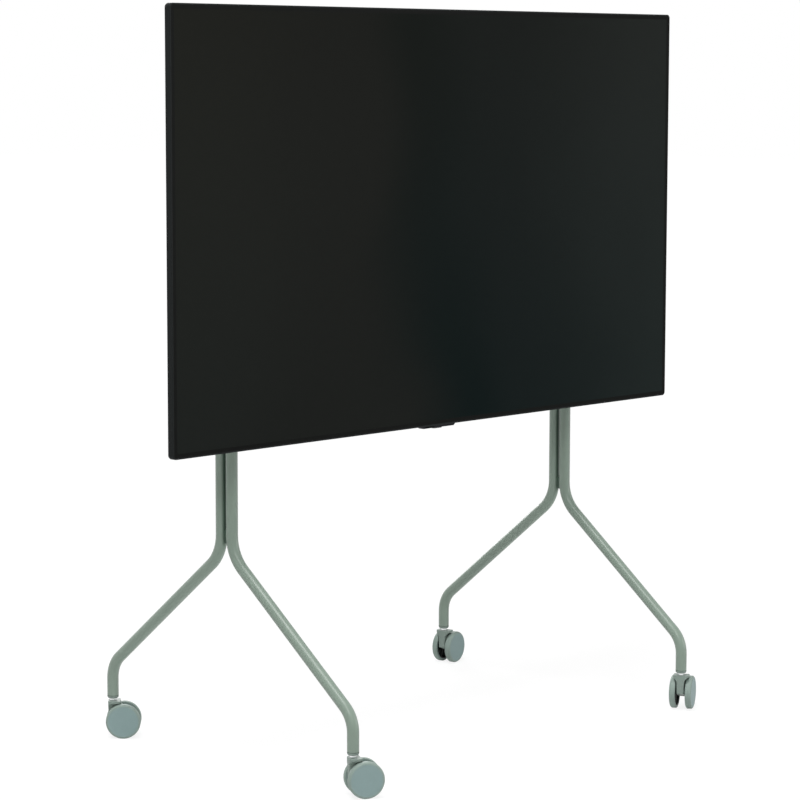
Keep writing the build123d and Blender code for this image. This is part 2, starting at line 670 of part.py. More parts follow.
def sensor_board():
    """A small board with the switch that the button presses."""
    board = housing_block(HOUSING_END, HOUSING_SIDE, SENSOR_BOARD_BOTTOM, HOUSING_CEILING)
    switch = block((-3, 3), (HOUSING_Y - 3, HOUSING_Y + 3), (SENSOR_BOARD_BOTTOM - 0.6, SENSOR_BOARD_BOTTOM))
    return board + switch


# ---------------------------------------------------------------- castors


def foot_socket():
    """A moulded plug with a rounded nose that closes the tube and grips the stem."""
    nose = rod((0, 0, NOSE_BOTTOM), (0, 0, 1), TUBE_RADIUS, SOCKET_NOSE)
    nose = fillet(nose.faces().sort_by(Axis.Z)[0].edges(), SOCKET_ROUND)
    plug = rod((0, 0, TUBE_END_Z), (0, 0, 1), TUBE_RADIUS - TUBE_WALL, SOCKET_DEPTH)
    plug = chamfer(plug.faces().sort_by(Axis.Z)[-1].edges(), 1.0)
    return nose + plug - rod((0, 0, NOSE_BOTTOM), (0, 0, 1), STEM_RADIUS, STEM_IN_SOCKET)


def castor_stem():
    """The steel stem, with a collar that stands between socket and castor body."""
    stem = rod((0, 0, STEM_BOTTOM), (0, 0, 1), STEM_RADIUS, STEM_TOP - STEM_BOTTOM)
    stem = chamfer(stem.edges().filter_by(GeomType.CIRCLE), 0.8)
    return stem + rod((0, 0, CASTOR_TOP + COLLAR_GAP), (0, 0, 1), COLLAR_RADIUS, COLLAR_HEIGHT)


def across(radius, half_width):
    """A cylinder about the axle, centred between the wheels."""
    return rod((TRAIL, -half_width, WHEEL_RADIUS), (0, 1, 0), radius, 2 * half_width)


def castor_body():
    """The moulded body: a wide nose around the stem and a tongue down to the axle."""
    profile = [
        (BODY_FRONT, TONGUE_BOTTOM),
        (BODY_FRONT, CASTOR_TOP),
        (BODY_BACK, CASTOR_TOP),
        (BODY_BACK + BODY_SLOPE[0], CASTOR_TOP - BODY_SLOPE[1]),
        (TRAIL + HUB_RADIUS, WHEEL_RADIUS + BACK_RISE),
        (TRAIL + HUB_RADIUS, WHEEL_RADIUS),
        (TRAIL, WHEEL_RADIUS - HUB_RADIUS),
    ]
    side_view = Plane(origin=(0, TONGUE_HALF_WIDTH, 0), x_dir=(1, 0, 0), z_dir=(0, -1, 0))
    tongue = extrude(side_view * make_face(Polyline(*profile, close=True)), 2 * TONGUE_HALF_WIDTH)
    tongue += across(HUB_RADIUS, TONGUE_HALF_WIDTH)
    tongue = fillet(tongue.edges().filter_by(Axis.Z).group_by(Axis.X)[0], TONGUE_CORNER)

    shoulder_z = CASTOR_TOP - NOSE_LIP
    waist_z = CASTOR_TOP - NOSE_DEPTH
    lip_x, waist_x = NOSE_HALF_WIDTH, TONGUE_HALF_WIDTH - 1
    taper_mid = (waist_x + 0.38 * (lip_x - waist_x), shoulder_z - 0.4 * (shoulder_z - waist_z))
    front_view = Plane(origin=(BODY_FRONT, 0, 0), x_dir=(0, 1, 0), z_dir=(1, 0, 0))
    outline = Wire(
        [
            Line((-lip_x, CASTOR_TOP), (lip_x, CASTOR_TOP)),
            Line((lip_x, CASTOR_TOP), (lip_x, shoulder_z)),
            ThreePointArc((lip_x, shoulder_z), taper_mid, (waist_x, waist_z)),
            Line((waist_x, waist_z), (-waist_x, waist_z)),
            ThreePointArc((-waist_x, waist_z), (-taper_mid[0], taper_mid[1]), (-lip_x, shoulder_z)),
            Line((-lip_x, shoulder_z), (-lip_x, CASTOR_TOP)),
        ]
    )
    nose = extrude(front_view * make_face(outline), BODY_BACK - BODY_FRONT)
    plan = RectangleRounded(2 * (BODY_BACK - BODY_FRONT), 2 * NOSE_HALF_WIDTH, NOSE_CORNER)
    nose &= extrude(Pos(BODY_BACK, 0, waist_z) * plan, CASTOR_TOP - waist_z)
    nose -= across(WHEEL_RADIUS + WHEEL_CLEARANCE, NOSE_HALF_WIDTH)

    body = tongue + nose
    body += across(HUB_BOSS_RADIUS, TRACK_WIDTH / 2 - WHEEL_WIDTH - SIDE_GAP)
    body -= rod((0, 0, STEM_BOTTOM - 0.5), (0, 0, 1), STEM_RADIUS + RUNNING_GAP, CASTOR_TOP)
    return body - across(AXLE_RADIUS, TRACK_WIDTH)


def castor_axle():
    """A plain steel pin through the hub, running into a blind bore in each wheel."""
    half = TRACK_WIDTH / 2 - WHEEL_DISC - SIDE_GAP
    return chamfer(across(AXLE_RADIUS, half).edges().filter_by(GeomType.CIRCLE), 0.5)


def castor_wheel(side):
    """A one-piece moulded wheel: smooth outer disc, rim and hub, hollow inside."""
    inner, outer = TRACK_WIDTH / 2 - WHEEL_WIDTH, TRACK_WIDTH / 2
    web = outer - WHEEL_DISC
    bore = AXLE_RADIUS + RUNNING_GAP
    rim = WHEEL_RADIUS - WHEEL_RIM
    flat = WHEEL_RADIUS - WHEEL_SHOULDER
    bend = WHEEL_SHOULDER * (1 - math.cos(math.pi / 4))
    tread_edge = (WHEEL_RADIUS, outer - WHEEL_SHOULDER)
    shoulder = ThreePointArc((flat, outer), (WHEEL_RADIUS - bend, outer - bend), tread_edge)
    corners = [
        tread_edge,
        (WHEEL_RADIUS, inner + WHEEL_BEVEL),
        (WHEEL_RADIUS - WHEEL_BEVEL, inner),
        (rim, inner),
        (rim + 1.0, web),
        (HUB_BOSS_RADIUS + 1, web),
        (HUB_BOSS_RADIUS + 1, inner),
        (bore, inner),
        (bore, web),
        (0, web),
        (0, outer),
    ]
    edges = [Line((0, outer), (flat, outer)), shoulder]
    edges += [Line(a, b) for a, b in zip(corners, corners[1:])]
    plane = Plane(origin=(TRAIL, 0, WHEEL_RADIUS), x_dir=(1, 0, 0), z_dir=(0, 0, -side))
    return revolve(plane * make_face(Wire(edges)), Axis((TRAIL, 0, WHEEL_RADIUS), (0, 1, 0)))


os.makedirs("parts", exist_ok=True)

spacers, saddles, screws = [], [], []
for side_x, label in ((-1, "left"), (1, "right")):
    save(f"leg_tube_{label}_front", leg_tube(side_x * LEG_X, -1))
    save(f"leg_tube_{label}_rear", leg_tube(side_x * LEG_X, 1))
    save(f"post_cap_{label}", post_cap(side_x * LEG_X))
    spacers += [spacer(side_x * LEG_X, UPPER_BEND_Z + rise) for rise in SPACER_RISES]
    for rail_z in RAIL_LEVELS.values():
        saddles.append(saddle_plate(side_x, rail_z))
        for screw_z in rail_screw_places(rail_z):
            seat = (side_x * FLANGE_INNER_X, 0, screw_z)
            screws.append(cap_screw(seat, (side_x, 0, 0), RAIL_SCREW_RADIUS, RAIL_SCREW_LENGTH))
save("post_spacers", Compound(children=spacers))
save("saddle_plates", Compound(children=saddles))
save("rail_screws", Compound(children=screws))
for label, rail_z in RAIL_LEVELS.items():
    save(f"{label}_rail", rail(rail_z))

mount_screws, lock_screws = [], []
for side_x, label in ((-1, "left"), (1, "right")):
    arm_x = side_x * HOLE_PITCH / 2
    save(f"mounting_arm_{label}", mounting_arm(arm_x))
    lock_seat = (arm_x, 0, RAIL_LEVELS["lower"] - RAIL_HEIGHT / 2 - LOCK_TAB)
    lock_screws.append(cap_screw(lock_seat, (0, 0, 1), LOCK_SCREW_RADIUS, LOCK_TAB))
for hole_x, hole_z in hole_places():
    seat = (hole_x, COVER_BACK + ARM_SHEET, hole_z)
    mount_screws.append(cap_screw(seat, (0, -1, 0), MOUNT_SCREW_RADIUS, MOUNT_SCREW_REACH))
save("mounting_screws", Compound(children=mount_screws))
save("arm_lock_screws", Compound(children=lock_screws))

save("bezel_frame", bezel_frame())
save("cover_glass", screen_plate(GLASS_FRONT, GLASS_BACK, FRAME_WALL, CORNER_RADIUS - FRAME_WALL))
save("lcd_panel", screen_plate(GLASS_BACK, PANEL_BACK, FRAME_WALL, CORNER_RADIUS - FRAME_WALL))
save("backlight_chassis", backlight_chassis())
save("rear_cover", rear_cover())
save("mounting_bosses", Compound(children=[mounting_boss(x, z) for x, z in hole_places()]))
save("port_recess", recess_tray(PORT_RECESS_X, PORT_RECESS))
save("inlet_recess", recess_tray(INLET_RECESS_X, INLET_RECESS))
save("ports", Compound(children=ports()))
save("power_inlet", power_inlet())
save("inlet_pins", Compound(children=inlet_pins()))
save("main_board", circuit_board(MAIN_BOARD, MAIN_BOARD_PARTS))
save("power_board", circuit_board(POWER_BOARD, POWER_BOARD_PARTS))
save("board_pillars", Compound(children=board_pillars(MAIN_BOARD) + board_pillars(POWER_BOARD)))
save("speakers", Compound(children=[speaker(-1), speaker(1)]))
save("cover_screws", Compound(children=cover_screws()))
save("sensor_housing", sensor_housing())
save("sensor_board", sensor_board())
save("power_button", power_button())

for label, (side_x, side_y, trail_angle) in CASTORS.items():
    stand = Pos(side_x * LEG_X, side_y * FOOT_REACH, 0)
    turned = stand * Rot(0, 0, trail_angle)
    save(f"foot_socket_{label}", stand * foot_socket())
    save(f"castor_stem_{label}", stand * castor_stem())
    save(f"castor_body_{label}", turned * castor_body())
    save(f"castor_axle_{label}", turned * castor_axle())
    save(f"wheel_{label}_1", turned * castor_wheel(1))
    save(f"wheel_{label}_2", turned * castor_wheel(-1))
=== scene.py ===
import json
import math
import random

import bmesh
import bpy
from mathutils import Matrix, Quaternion, Vector


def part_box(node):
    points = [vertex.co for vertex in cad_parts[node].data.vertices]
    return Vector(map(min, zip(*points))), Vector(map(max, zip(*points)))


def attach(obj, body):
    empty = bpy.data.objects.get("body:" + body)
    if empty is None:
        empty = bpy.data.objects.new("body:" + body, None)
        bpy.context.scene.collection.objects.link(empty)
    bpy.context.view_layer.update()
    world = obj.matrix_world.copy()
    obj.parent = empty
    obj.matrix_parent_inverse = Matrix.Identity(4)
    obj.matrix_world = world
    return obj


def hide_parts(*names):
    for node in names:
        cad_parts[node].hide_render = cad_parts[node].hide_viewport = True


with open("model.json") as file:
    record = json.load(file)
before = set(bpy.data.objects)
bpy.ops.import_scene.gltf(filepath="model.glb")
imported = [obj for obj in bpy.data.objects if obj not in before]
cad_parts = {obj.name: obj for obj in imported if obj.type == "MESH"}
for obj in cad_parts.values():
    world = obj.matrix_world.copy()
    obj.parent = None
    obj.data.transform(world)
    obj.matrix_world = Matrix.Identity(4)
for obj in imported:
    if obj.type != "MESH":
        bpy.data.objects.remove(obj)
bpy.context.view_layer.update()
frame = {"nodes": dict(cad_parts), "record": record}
nodes = frame["nodes"]

MM = 0.001
CORNERS = ("front_left", "rear_left", "front_right", "rear_right")
CAP_LOW, CAP_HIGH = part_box("post_cap_left")
POST_RADIUS = (CAP_HIGH[0] - CAP_LOW[0]) / 2
POST_OFFSET = (CAP_HIGH[1] - CAP_LOW[1]) / 2 - POST_RADIUS
LEG_DISTANCE = abs(CAP_HIGH[0] + CAP_LOW[0]) / 2


def linear(red, green, blue):
    """A colour written on the usual 0 to 255 scale, as the shader wants it."""
    values = []
    for part in (red, green, blue):
        part = part / 255
        values.append(part / 12.92 if part <= 0.04045 else ((part + 0.055) / 1.055) ** 2.4)
    return (*values, 1.0)


# ---------------------------------------------------------------- surface effects

# The part of a noise texture's range that is spread out over an effect.
NOISE_LOW, NOISE_HIGH = 0.3, 0.7
DUST_TILT = 0.45
DUST_PATCH_LOW, DUST_PATCH_HIGH = 0.35, 0.7
DUST_COLOUR = (172, 170, 165)
GAP_SOFT_EDGE = 0.002
GAP_FADE = 0.016
BUMP_STRENGTH = 0.8


def effect_group(name, inputs, outputs):
    """An empty shader group with named value or colour sockets."""
    group = bpy.data.node_groups.new(name, "ShaderNodeTree")
    for label, kind, default in inputs:
        socket = group.interface.new_socket(label, in_out="INPUT", socket_type=kind)
        socket.default_value = default
    for label, kind in outputs:
        group.interface.new_socket(label, in_out="OUTPUT", socket_type=kind)
    return group, group.nodes.new("NodeGroupInput"), group.nodes.new("NodeGroupOutput")


def noise(tree, vector, scale_socket=None, scale=100.0, detail=3.0, roughness=0.5):
    """A noise texture read from a vector socket."""
    texture = tree.nodes.new("ShaderNodeTexNoise")
    texture.inputs["Scale"].default_value = scale
    texture.inputs["Detail"].default_value = detail
    texture.inputs["Roughness"].default_value = roughness
    tree.links.new(vector, texture.inputs["Vector"])
    if scale_socket is not None:
        tree.links.new(scale_socket, texture.inputs["Scale"])
    return texture.outputs["Fac"]


def spread(tree, value, low, high, to_low=0.0, to_high=1.0):
    """Maps a value from one range to another, clamped."""
    node = tree.nodes.new("ShaderNodeMapRange")
    tree.links.new(value, node.inputs["Value"])
    limits = {"From Min": low, "From Max": high, "To Min": to_low, "To Max": to_high}
    for label, number in limits.items():
        if isinstance(number, (int, float)):
            node.inputs[label].default_value = number
        else:
            tree.links.new(number, node.inputs[label])
    return node.outputs["Result"]


def arithmetic(tree, operation, first, second):
    """One math node; either side may be a number or a socket."""
    node = tree.nodes.new("ShaderNodeMath")
    node.operation = operation
    for socket, value in zip(node.inputs, (first, second)):
        if isinstance(value, (int, float)):
            socket.default_value = value
        else:
            tree.links.new(value, socket)
    return node.outputs["Value"]


def blend_colour(tree, factor, first, second, mode="MIX"):
    """Mixes two colours; each may be a tuple or a socket."""
    node = tree.nodes.new("ShaderNodeMix")
    node.data_type = "RGBA"
    node.blend_type = mode
    for socket, value in ((node.inputs[0], factor), (node.inputs[6], first), (node.inputs[7], second)):
        if isinstance(value, (int, float, tuple)):
            socket.default_value = value
        else:
            tree.links.new(value, socket)
    return node.outputs[2]


def make_mottle():
    """Slow colour and gloss variation over a surface."""
    inputs = [
        ("Colour", "NodeSocketColor", (0.5, 0.5, 0.5, 1.0)),
        ("Size", "NodeSocketFloat", 18.0),
        ("Amount", "NodeSocketFloat", 0.08),
        ("Roughness", "NodeSocketFloat", 0.5),
        ("Gloss Change", "NodeSocketFloat", 0.08),
    ]
    outputs = [("Colour", "NodeSocketColor"), ("Roughness", "NodeSocketFloat")]
    tree, given, result = effect_group("mottle", inputs, outputs)
    place = tree.nodes.new("ShaderNodeTexCoord").outputs["Object"]
    cloud = noise(tree, place, given.outputs["Size"], detail=4.0, roughness=0.6)
    shade = spread(tree, cloud, NOISE_LOW, NOISE_HIGH, -1.0, 1.0)
    gain = arithmetic(tree, "ADD", arithmetic(tree, "MULTIPLY", shade, given.outputs["Amount"]), 1.0)
    tinted = tree.nodes.new("ShaderNodeVectorMath")
    tinted.operation = "SCALE"
    tree.links.new(given.outputs["Colour"], tinted.inputs["Vector"])
    tree.links.new(gain, tinted.inputs["Scale"])
    tree.links.new(tinted.outputs["Vector"], result.inputs["Colour"])
    change = arithmetic(tree, "MULTIPLY", shade, given.outputs["Gloss Change"])
    roughness = arithmetic(tree, "ADD", change, given.outputs["Roughness"])
    tree.links.new(roughness, result.inputs["Roughness"])
    return tree


def make_grain():
    """Fine surface relief, as a height: powder coat, moulded texture or cast skin."""
    inputs = [
        ("Size", "NodeSocketFloat", 900.0),
        ("Coarse Size", "NodeSocketFloat", 160.0),
        ("Coarse Share", "NodeSocketFloat", 0.3),
    ]
    tree, given, result = effect_group("grain", inputs, [("Height", "NodeSocketFloat")])
    place = tree.nodes.new("ShaderNodeTexCoord").outputs["Object"]
    fine = noise(tree, place, given.outputs["Size"], detail=2.0)
    coarse = noise(tree, place, given.outputs["Coarse Size"], detail=2.0)
    coarse = arithmetic(tree, "MULTIPLY", coarse, given.outputs["Coarse Share"])
    both = arithmetic(tree, "ADD", fine, coarse)
    tree.links.new(both, result.inputs["Height"])
    return tree


def make_dust():
    """A mask of settled dust on faces that look up."""
    inputs = [("Cover", "NodeSocketFloat", 0.25), ("Patch Size", "NodeSocketFloat", 60.0)]
    tree, given, result = effect_group("settled_dust", inputs, [("Mask", "NodeSocketFloat")])
    face = tree.nodes.new("ShaderNodeNewGeometry").outputs["Normal"]
    split = tree.nodes.new("ShaderNodeSeparateXYZ")
    tree.links.new(face, split.inputs["Vector"])
    up = spread(tree, split.outputs["Z"], DUST_TILT, 1.0)
    place = tree.nodes.new("ShaderNodeTexCoord").outputs["Object"]
    cloud = noise(tree, place, given.outputs["Patch Size"], detail=5.0)
    patch = spread(tree, cloud, DUST_PATCH_LOW, DUST_PATCH_HIGH)
    cover = arithmetic(tree, "MULTIPLY", up, given.outputs["Cover"])
    tree.links.new(arithmetic(tree, "MULTIPLY", cover, patch), result.inputs["Mask"])
    return tree


def vector_step(tree, operation, first, second, scale=None):
    """One vector math node; inputs may be tuples or sockets."""
    node = tree.nodes.new("ShaderNodeVectorMath")
    node.operation = operation
    for socket, value in zip(node.inputs, (first, second)):
        if isinstance(value, tuple):
            socket.default_value = value
        elif value is not None:
            tree.links.new(value, socket)
    if scale is not None:
        tree.links.new(scale, node.inputs["Scale"])
    return node.outputs["Value" if operation in ("DOT_PRODUCT", "LENGTH") else "Vector"]


def make_about_axle():
    """How far a point lies from an axle's line, and how far along the axle from its middle."""
    inputs = [
        ("Centre", "NodeSocketVector", (0.0, 0.0, 0.0)),
        ("Axle", "NodeSocketVector", (0.0, 1.0, 0.0)),
    ]
    outputs = [("Radius", "NodeSocketFloat"), ("Along", "NodeSocketFloat")]
    tree, given, result = effect_group("about_axle", inputs, outputs)
    place = tree.nodes.new("ShaderNodeTexCoord").outputs["Object"]
    offset = vector_step(tree, "SUBTRACT", place, given.outputs["Centre"])
    along = vector_step(tree, "DOT_PRODUCT", offset, given.outputs["Axle"])
    part = vector_step(tree, "SCALE", given.outputs["Axle"], None, along)
    radial = vector_step(tree, "SUBTRACT", offset, part)
    tree.links.new(vector_step(tree, "LENGTH", radial, None), result.inputs["Radius"])
    tree.links.new(along, result.inputs["Along"])
    return tree


def make_gap_shade():
    """A mask of painted shade in the narrow gap between a pair of upright posts, where little light
    gets in.
    """
    inputs = [
        ("Leg Distance", "NodeSocketFloat", 0.5),
        ("Half Gap", "NodeSocketFloat", 0.003),
        ("Reach", "NodeSocketFloat", 0.003),
        ("Half Width", "NodeSocketFloat", 0.0095),
        ("Lower End", "NodeSocketFloat", 0.416),
    ]
    tree, given, result = effect_group("gap_shade", inputs, [("Mask", "NodeSocketFloat")])
    place = tree.nodes.new("ShaderNodeTexCoord").outputs["Object"]
    split = tree.nodes.new("ShaderNodeSeparateXYZ")
    tree.links.new(place, split.inputs["Vector"])
    depth = arithmetic(tree, "ABSOLUTE", split.outputs["Y"], 0.0)
    far = arithmetic(tree, "ADD", given.outputs["Half Gap"], given.outputs["Reach"])
    near_gap = spread(tree, depth, given.outputs["Half Gap"], far, 1.0, 0.0)
    outward = arithmetic(tree, "ABSOLUTE", split.outputs["X"], 0.0)
    aside = arithmetic(tree, "SUBTRACT", outward, given.outputs["Leg Distance"])
    aside = arithmetic(tree, "ABSOLUTE", aside, 0.0)
    inner = arithmetic(tree, "SUBTRACT", given.outputs["Half Width"], GAP_SOFT_EDGE)
    on_posts = spread(tree, aside, inner, given.outputs["Half Width"], 1.0, 0.0)
    top = arithmetic(tree, "ADD", given.outputs["Lower End"], GAP_FADE)
    above = spread(tree, split.outputs["Z"], given.outputs["Lower End"], top)
    both = arithmetic(tree, "MULTIPLY", near_gap, on_posts)
    tree.links.new(arithmetic(tree, "MULTIPLY", both, above), result.inputs["Mask"])
    return tree


MOTTLE = make_mottle()
ABOUT_AXLE = make_about_axle()
GRAIN = make_grain()
DUST = make_dust()
GAP_SHADE = make_gap_shade()


def place_group(tree, group, **values):
    """Puts an effect into a material with its own values."""
    node = tree.nodes.new("ShaderNodeGroup")
    node.node_tree = group
    for label, value in values.items():
        node.inputs[label.replace("_", " ")].default_value = value
    return node


def finish_material(
    name,
    colour,
    roughness,
    metallic=0.0,
    specular=0.5,
    coat=0.0,
    coat_roughness=0.1,
    mottle=(18.0, 0.05, 0.06),
    grain=(900.0, 160.0, 0.3, 0.00004),
    dust=0.0,
):
    """A finish: colour, gloss, slow variation, fine relief and settled dust.

    The colour is a tuple, or a function that makes a colour socket in the material."""
    material = bpy.data.materials.new(name)
    material.use_nodes = True
    tree = material.node_tree
    shader = tree.nodes["Principled BSDF"]
    shader.inputs["Metallic"].default_value = metallic
    shader.inputs["Specular IOR Level"].default_value = specular
    shader.inputs["Coat Weight"].default_value = coat
    shader.inputs["Coat Roughness"].default_value = coat_roughness
    size, amount, gloss = mottle
    tone = place_group(tree, MOTTLE, Size=size, Amount=amount, Roughness=roughness)
    if callable(colour):
        tree.links.new(colour(tree), tone.inputs["Colour"])
    else:
        tone.inputs["Colour"].default_value = colour
    tone.inputs["Gloss Change"].default_value = gloss
    paint = tone.outputs["Colour"]
    if dust:
        layer = place_group(tree, DUST, Cover=dust)
        paint = blend_colour(tree, layer.outputs["Mask"], paint, linear(*DUST_COLOUR))
    tree.links.new(paint, shader.inputs["Base Color"])
    tree.links.new(tone.outputs["Roughness"], shader.inputs["Roughness"])
    fine, coarse, share, depth = grain
    relief = place_group(tree, GRAIN, Size=fine, Coarse_Size=coarse, Coarse_Share=share)
    bump = tree.nodes.new("ShaderNodeBump")
    bump.inputs["Distance"].default_value = depth
    bump.inputs["Strength"].default_value = BUMP_STRENGTH
    tree.links.new(relief.outputs["Height"], bump.inputs["Height"])
    tree.links.new(bump.outputs["Normal"], shader.inputs["Normal"])
    return material


# The deep sage is painted shade for the gap between each pair of posts.
SAGE, GAP_PAINTED_SHADE_SAGE = linear(139, 156, 143), linear(56, 80, 65)
GAP_REACH = 0.0036


def sage_with_painted_gap_shade(tree):
    """The stand's green, darkened by painted shade in the gap between each pair of posts."""
    half_gap = POST_OFFSET - POST_RADIUS
    gap = place_group(tree, GAP_SHADE, Leg_Distance=LEG_DISTANCE, Half_Gap=half_gap, Reach=GAP_REACH)
    return blend_colour(tree, gap.outputs["Mask"], SAGE, GAP_PAINTED_SHADE_SAGE)


# The powder coat carries the painted shade of the gap between the posts.
SAGE_POWDER_COAT = finish_material(
    "sage_powder_coat",
    sage_with_painted_gap_shade,
    0.42,
    specular=0.2,
    coat=0.6,
    coat_roughness=0.3,
    mottle=(26.0, 0.02, 0.04),
    grain=(1500.0, 420.0, 0.6, 0.0000015),
    dust=0.06,
)
SAGE_MOULDED = finish_material(
    "sage_moulded_nylon",
    linear(140, 155, 147),
    0.46,
    specular=0.35,
    mottle=(60.0, 0.03, 0.05),
    grain=(2200.0, 600.0, 0.4, 0.00001),
    dust=0.08,
)
BRIGHT_ZINC = finish_material(
    "bright_zinc_plate",
    linear(226, 228, 228),
    0.22,
    metallic=1.0,
    mottle=(120.0, 0.05, 0.08),
    grain=(2600.0, 500.0, 0.5, 0.000008),
)
DULL_ZINC = finish_material(
    "screw_zinc_plate",
    linear(168, 171, 172),
    0.34,
    metallic=1.0,
    mottle=(160.0, 0.06, 0.08),
    grain=(2600.0, 500.0, 0.5, 0.000008),
)
BLACK_FRAME_COAT = finish_material(
    "satin_black_frame",
    linear(29, 32, 32),
    0.5,
    specular=0.07,
    mottle=(14.0, 0.06, 0.05),
    grain=(2000.0, 500.0, 0.4, 0.00001),
    dust=0.05,
)
BLACK_MOULDED = finish_material(
    "black_moulded_cover",
    linear(33, 34, 38),
    0.66,
    specular=0.14,
    mottle=(5.0, 0.04, 0.04),
    grain=(1400.0, 350.0, 0.6, 0.00004),
    dust=0.03,
)
BORDER_PRINT = finish_material(
    "border_print",
    linear(25, 26, 25),
    0.34,
    specular=0.015,
    mottle=(6.0, 0.04, 0.03),
)
BUTTON_BLACK = finish_material(
    "button_black",
    linear(52, 53, 56),
    0.4,
    mottle=(90.0, 0.06, 0.06),
)
SCREW_BLACK = finish_material(
    "screw_black_oxide",
    linear(44, 44, 46),
    0.38,
    metallic=0.9,
    mottle=(200.0, 0.1, 0.1),
)
CHASSIS_STEEL = finish_material(
    "chassis_steel",
    linear(168, 171, 173),
    0.4,
    metallic=1.0,
    mottle=(40.0, 0.08, 0.1),
)
PANEL_FILM = finish_material(
    "panel_film",
    linear(30, 31, 33),
    0.3,
    mottle=(6.0, 0.05, 0.04),
)
SOLDER_MASK = finish_material(
    "solder_mask",
    linear(28, 92, 58),
    0.4,
    mottle=(300.0, 0.12, 0.1),
)
PORT_NICKEL = finish_material(
    "port_nickel",
    linear(196, 197, 196),
    0.28,
    metallic=1.0,
    mottle=(300.0, 0.06, 0.08),
)
PIN_BRASS = finish_material(
    "pin_brass",
    linear(214, 196, 140),
    0.25,
    metallic=1.0,
    mottle=(300.0, 0.06, 0.08),
)


# The panel's dark tone with a painted reflection over it, across its width, at the bottom and at the
# top.
PANEL_PAINTED_REFLECTION_TONES = (
    (
        (0.0, linear(32, 35, 33)),
        (0.36, linear(30, 32, 30)),
        (0.53, linear(13, 24, 24)),
        (0.66, linear(21, 29, 29)),
        (1.0, linear(34, 41, 40)),
    ),
    (
        (0.0, linear(30, 31, 27)),
        (0.34, linear(26, 27, 24)),
        (0.45, linear(17, 21, 18)),
        (0.6, linear(24, 27, 25)),
        (1.0, linear(37, 40, 38)),
    ),
)
PANEL_SWAY = 0.05
PANEL_CLOUD = 2.2


def panel_tint_and_painted_reflection(tree):
    """A dark panel's own colour with a faint painted reflection: warm on the left, deepest in the
    middle, cool on the right.
    """
    place = tree.nodes.new("ShaderNodeTexCoord").outputs["Object"]
    split = tree.nodes.new("ShaderNodeSeparateXYZ")
    tree.links.new(place, split.inputs["Vector"])
    low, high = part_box("cover_glass")
    across = spread(tree, split.outputs["X"], low[0], high[0])
    upward = spread(tree, split.outputs["Z"], low[2], high[2])
    cloud = noise(tree, place, scale=PANEL_CLOUD, detail=1.0)
    sway = spread(tree, cloud, NOISE_LOW, NOISE_HIGH, -PANEL_SWAY, PANEL_SWAY)
    position = arithmetic(tree, "ADD", across, sway)
    tones = []
    for stops in PANEL_PAINTED_REFLECTION_TONES:
        ramp = tree.nodes.new("ShaderNodeValToRGB")
        ramp.color_ramp.interpolation = "EASE"
        ramp.color_ramp.elements.remove(ramp.color_ramp.elements[1])
        ramp.color_ramp.elements[0].position, ramp.color_ramp.elements[0].color = stops[0]
        for share, tone in stops[1:]:
            ramp.color_ramp.elements.new(share).color = tone
        tree.links.new(position, ramp.inputs["Fac"])
        tones.append(ramp.outputs["Color"])
    return blend_colour(tree, upward, *tones)


# The screen glass carries the panel's dark colour and a painted reflection.
SCREEN_GLASS = finish_material(
    "screen_glass",
    panel_tint_and_painted_reflection,
    0.34,
    specular=0.015,
    mottle=(3.0, 0.03, 0.02),
    grain=(3000.0, 900.0, 0.4, 0.000003),
)


WHEEL_FACE_RADIUS = 0.0302
WHEEL_RIM_RADIUS = 0.0297
WHEEL_WEB = 0.0205
WHEEL_FACE_BLUE, WHEEL_TREAD_SAGE = linear(146, 169, 168), linear(148, 165, 157)
# The painted shade in a wheel's hollow.
WHEEL_HOLLOW_PAINTED_SHADE = linear(38, 44, 42)


def wheel_axle(corner, number):
    """A wheel's spin centre, and its axle's direction, which points out through the disc face."""
    joint = f"wheel_{corner}_{number}_spin"
    spin = next(j for j in frame["record"]["behaviour"]["joints"] if j["name"] == joint)
    low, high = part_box(f"wheel_{corner}_{number}")
    centre, axle = Vector(spin["pos_m"]), Vector(spin["axis"]).normalized()
    outward = 1 if ((Vector(low) + Vector(high)) / 2 - centre).dot(axle) > 0 else -1
    return centre, axle * outward


def wheel_finish(corner, number):
    """One wheel's plastic: a bluish disc face, a sage tread and shoulder, and painted shade in the
    hollow inside.
    """
    centre, axle = wheel_axle(corner, number)

    def wheel_tint_and_hollow_shade(tree):
        about = place_group(tree, ABOUT_AXLE, Centre=tuple(centre), Axle=tuple(axle))
        radius, along = about.outputs["Radius"], about.outputs["Along"]
        tread = spread(tree, radius, WHEEL_FACE_RADIUS - 0.0015, WHEEL_FACE_RADIUS + 0.0025)
        tint = blend_colour(tree, tread, WHEEL_FACE_BLUE, WHEEL_TREAD_SAGE)
        # Painted shade: the hollow inside the rim is darkened where shade falls.
        within = spread(tree, radius, WHEEL_RIM_RADIUS, WHEEL_RIM_RADIUS + 0.0004, 1.0, 0.0)
        hollow = spread(tree, along, WHEEL_WEB + 0.0002, WHEEL_WEB + 0.0006, 1.0, 0.0)
        inside = arithmetic(tree, "MULTIPLY", within, hollow)
        return blend_colour(tree, inside, tint, WHEEL_HOLLOW_PAINTED_SHADE)

    return finish_material(
        f"wheel_nylon_{corner}_{number}",
        wheel_tint_and_hollow_shade,
        0.5,
        specular=0.3,
        mottle=(45.0, 0.025, 0.05),
        grain=(1800.0, 300.0, 0.5, 0.000008),
        dust=0.08,
    )


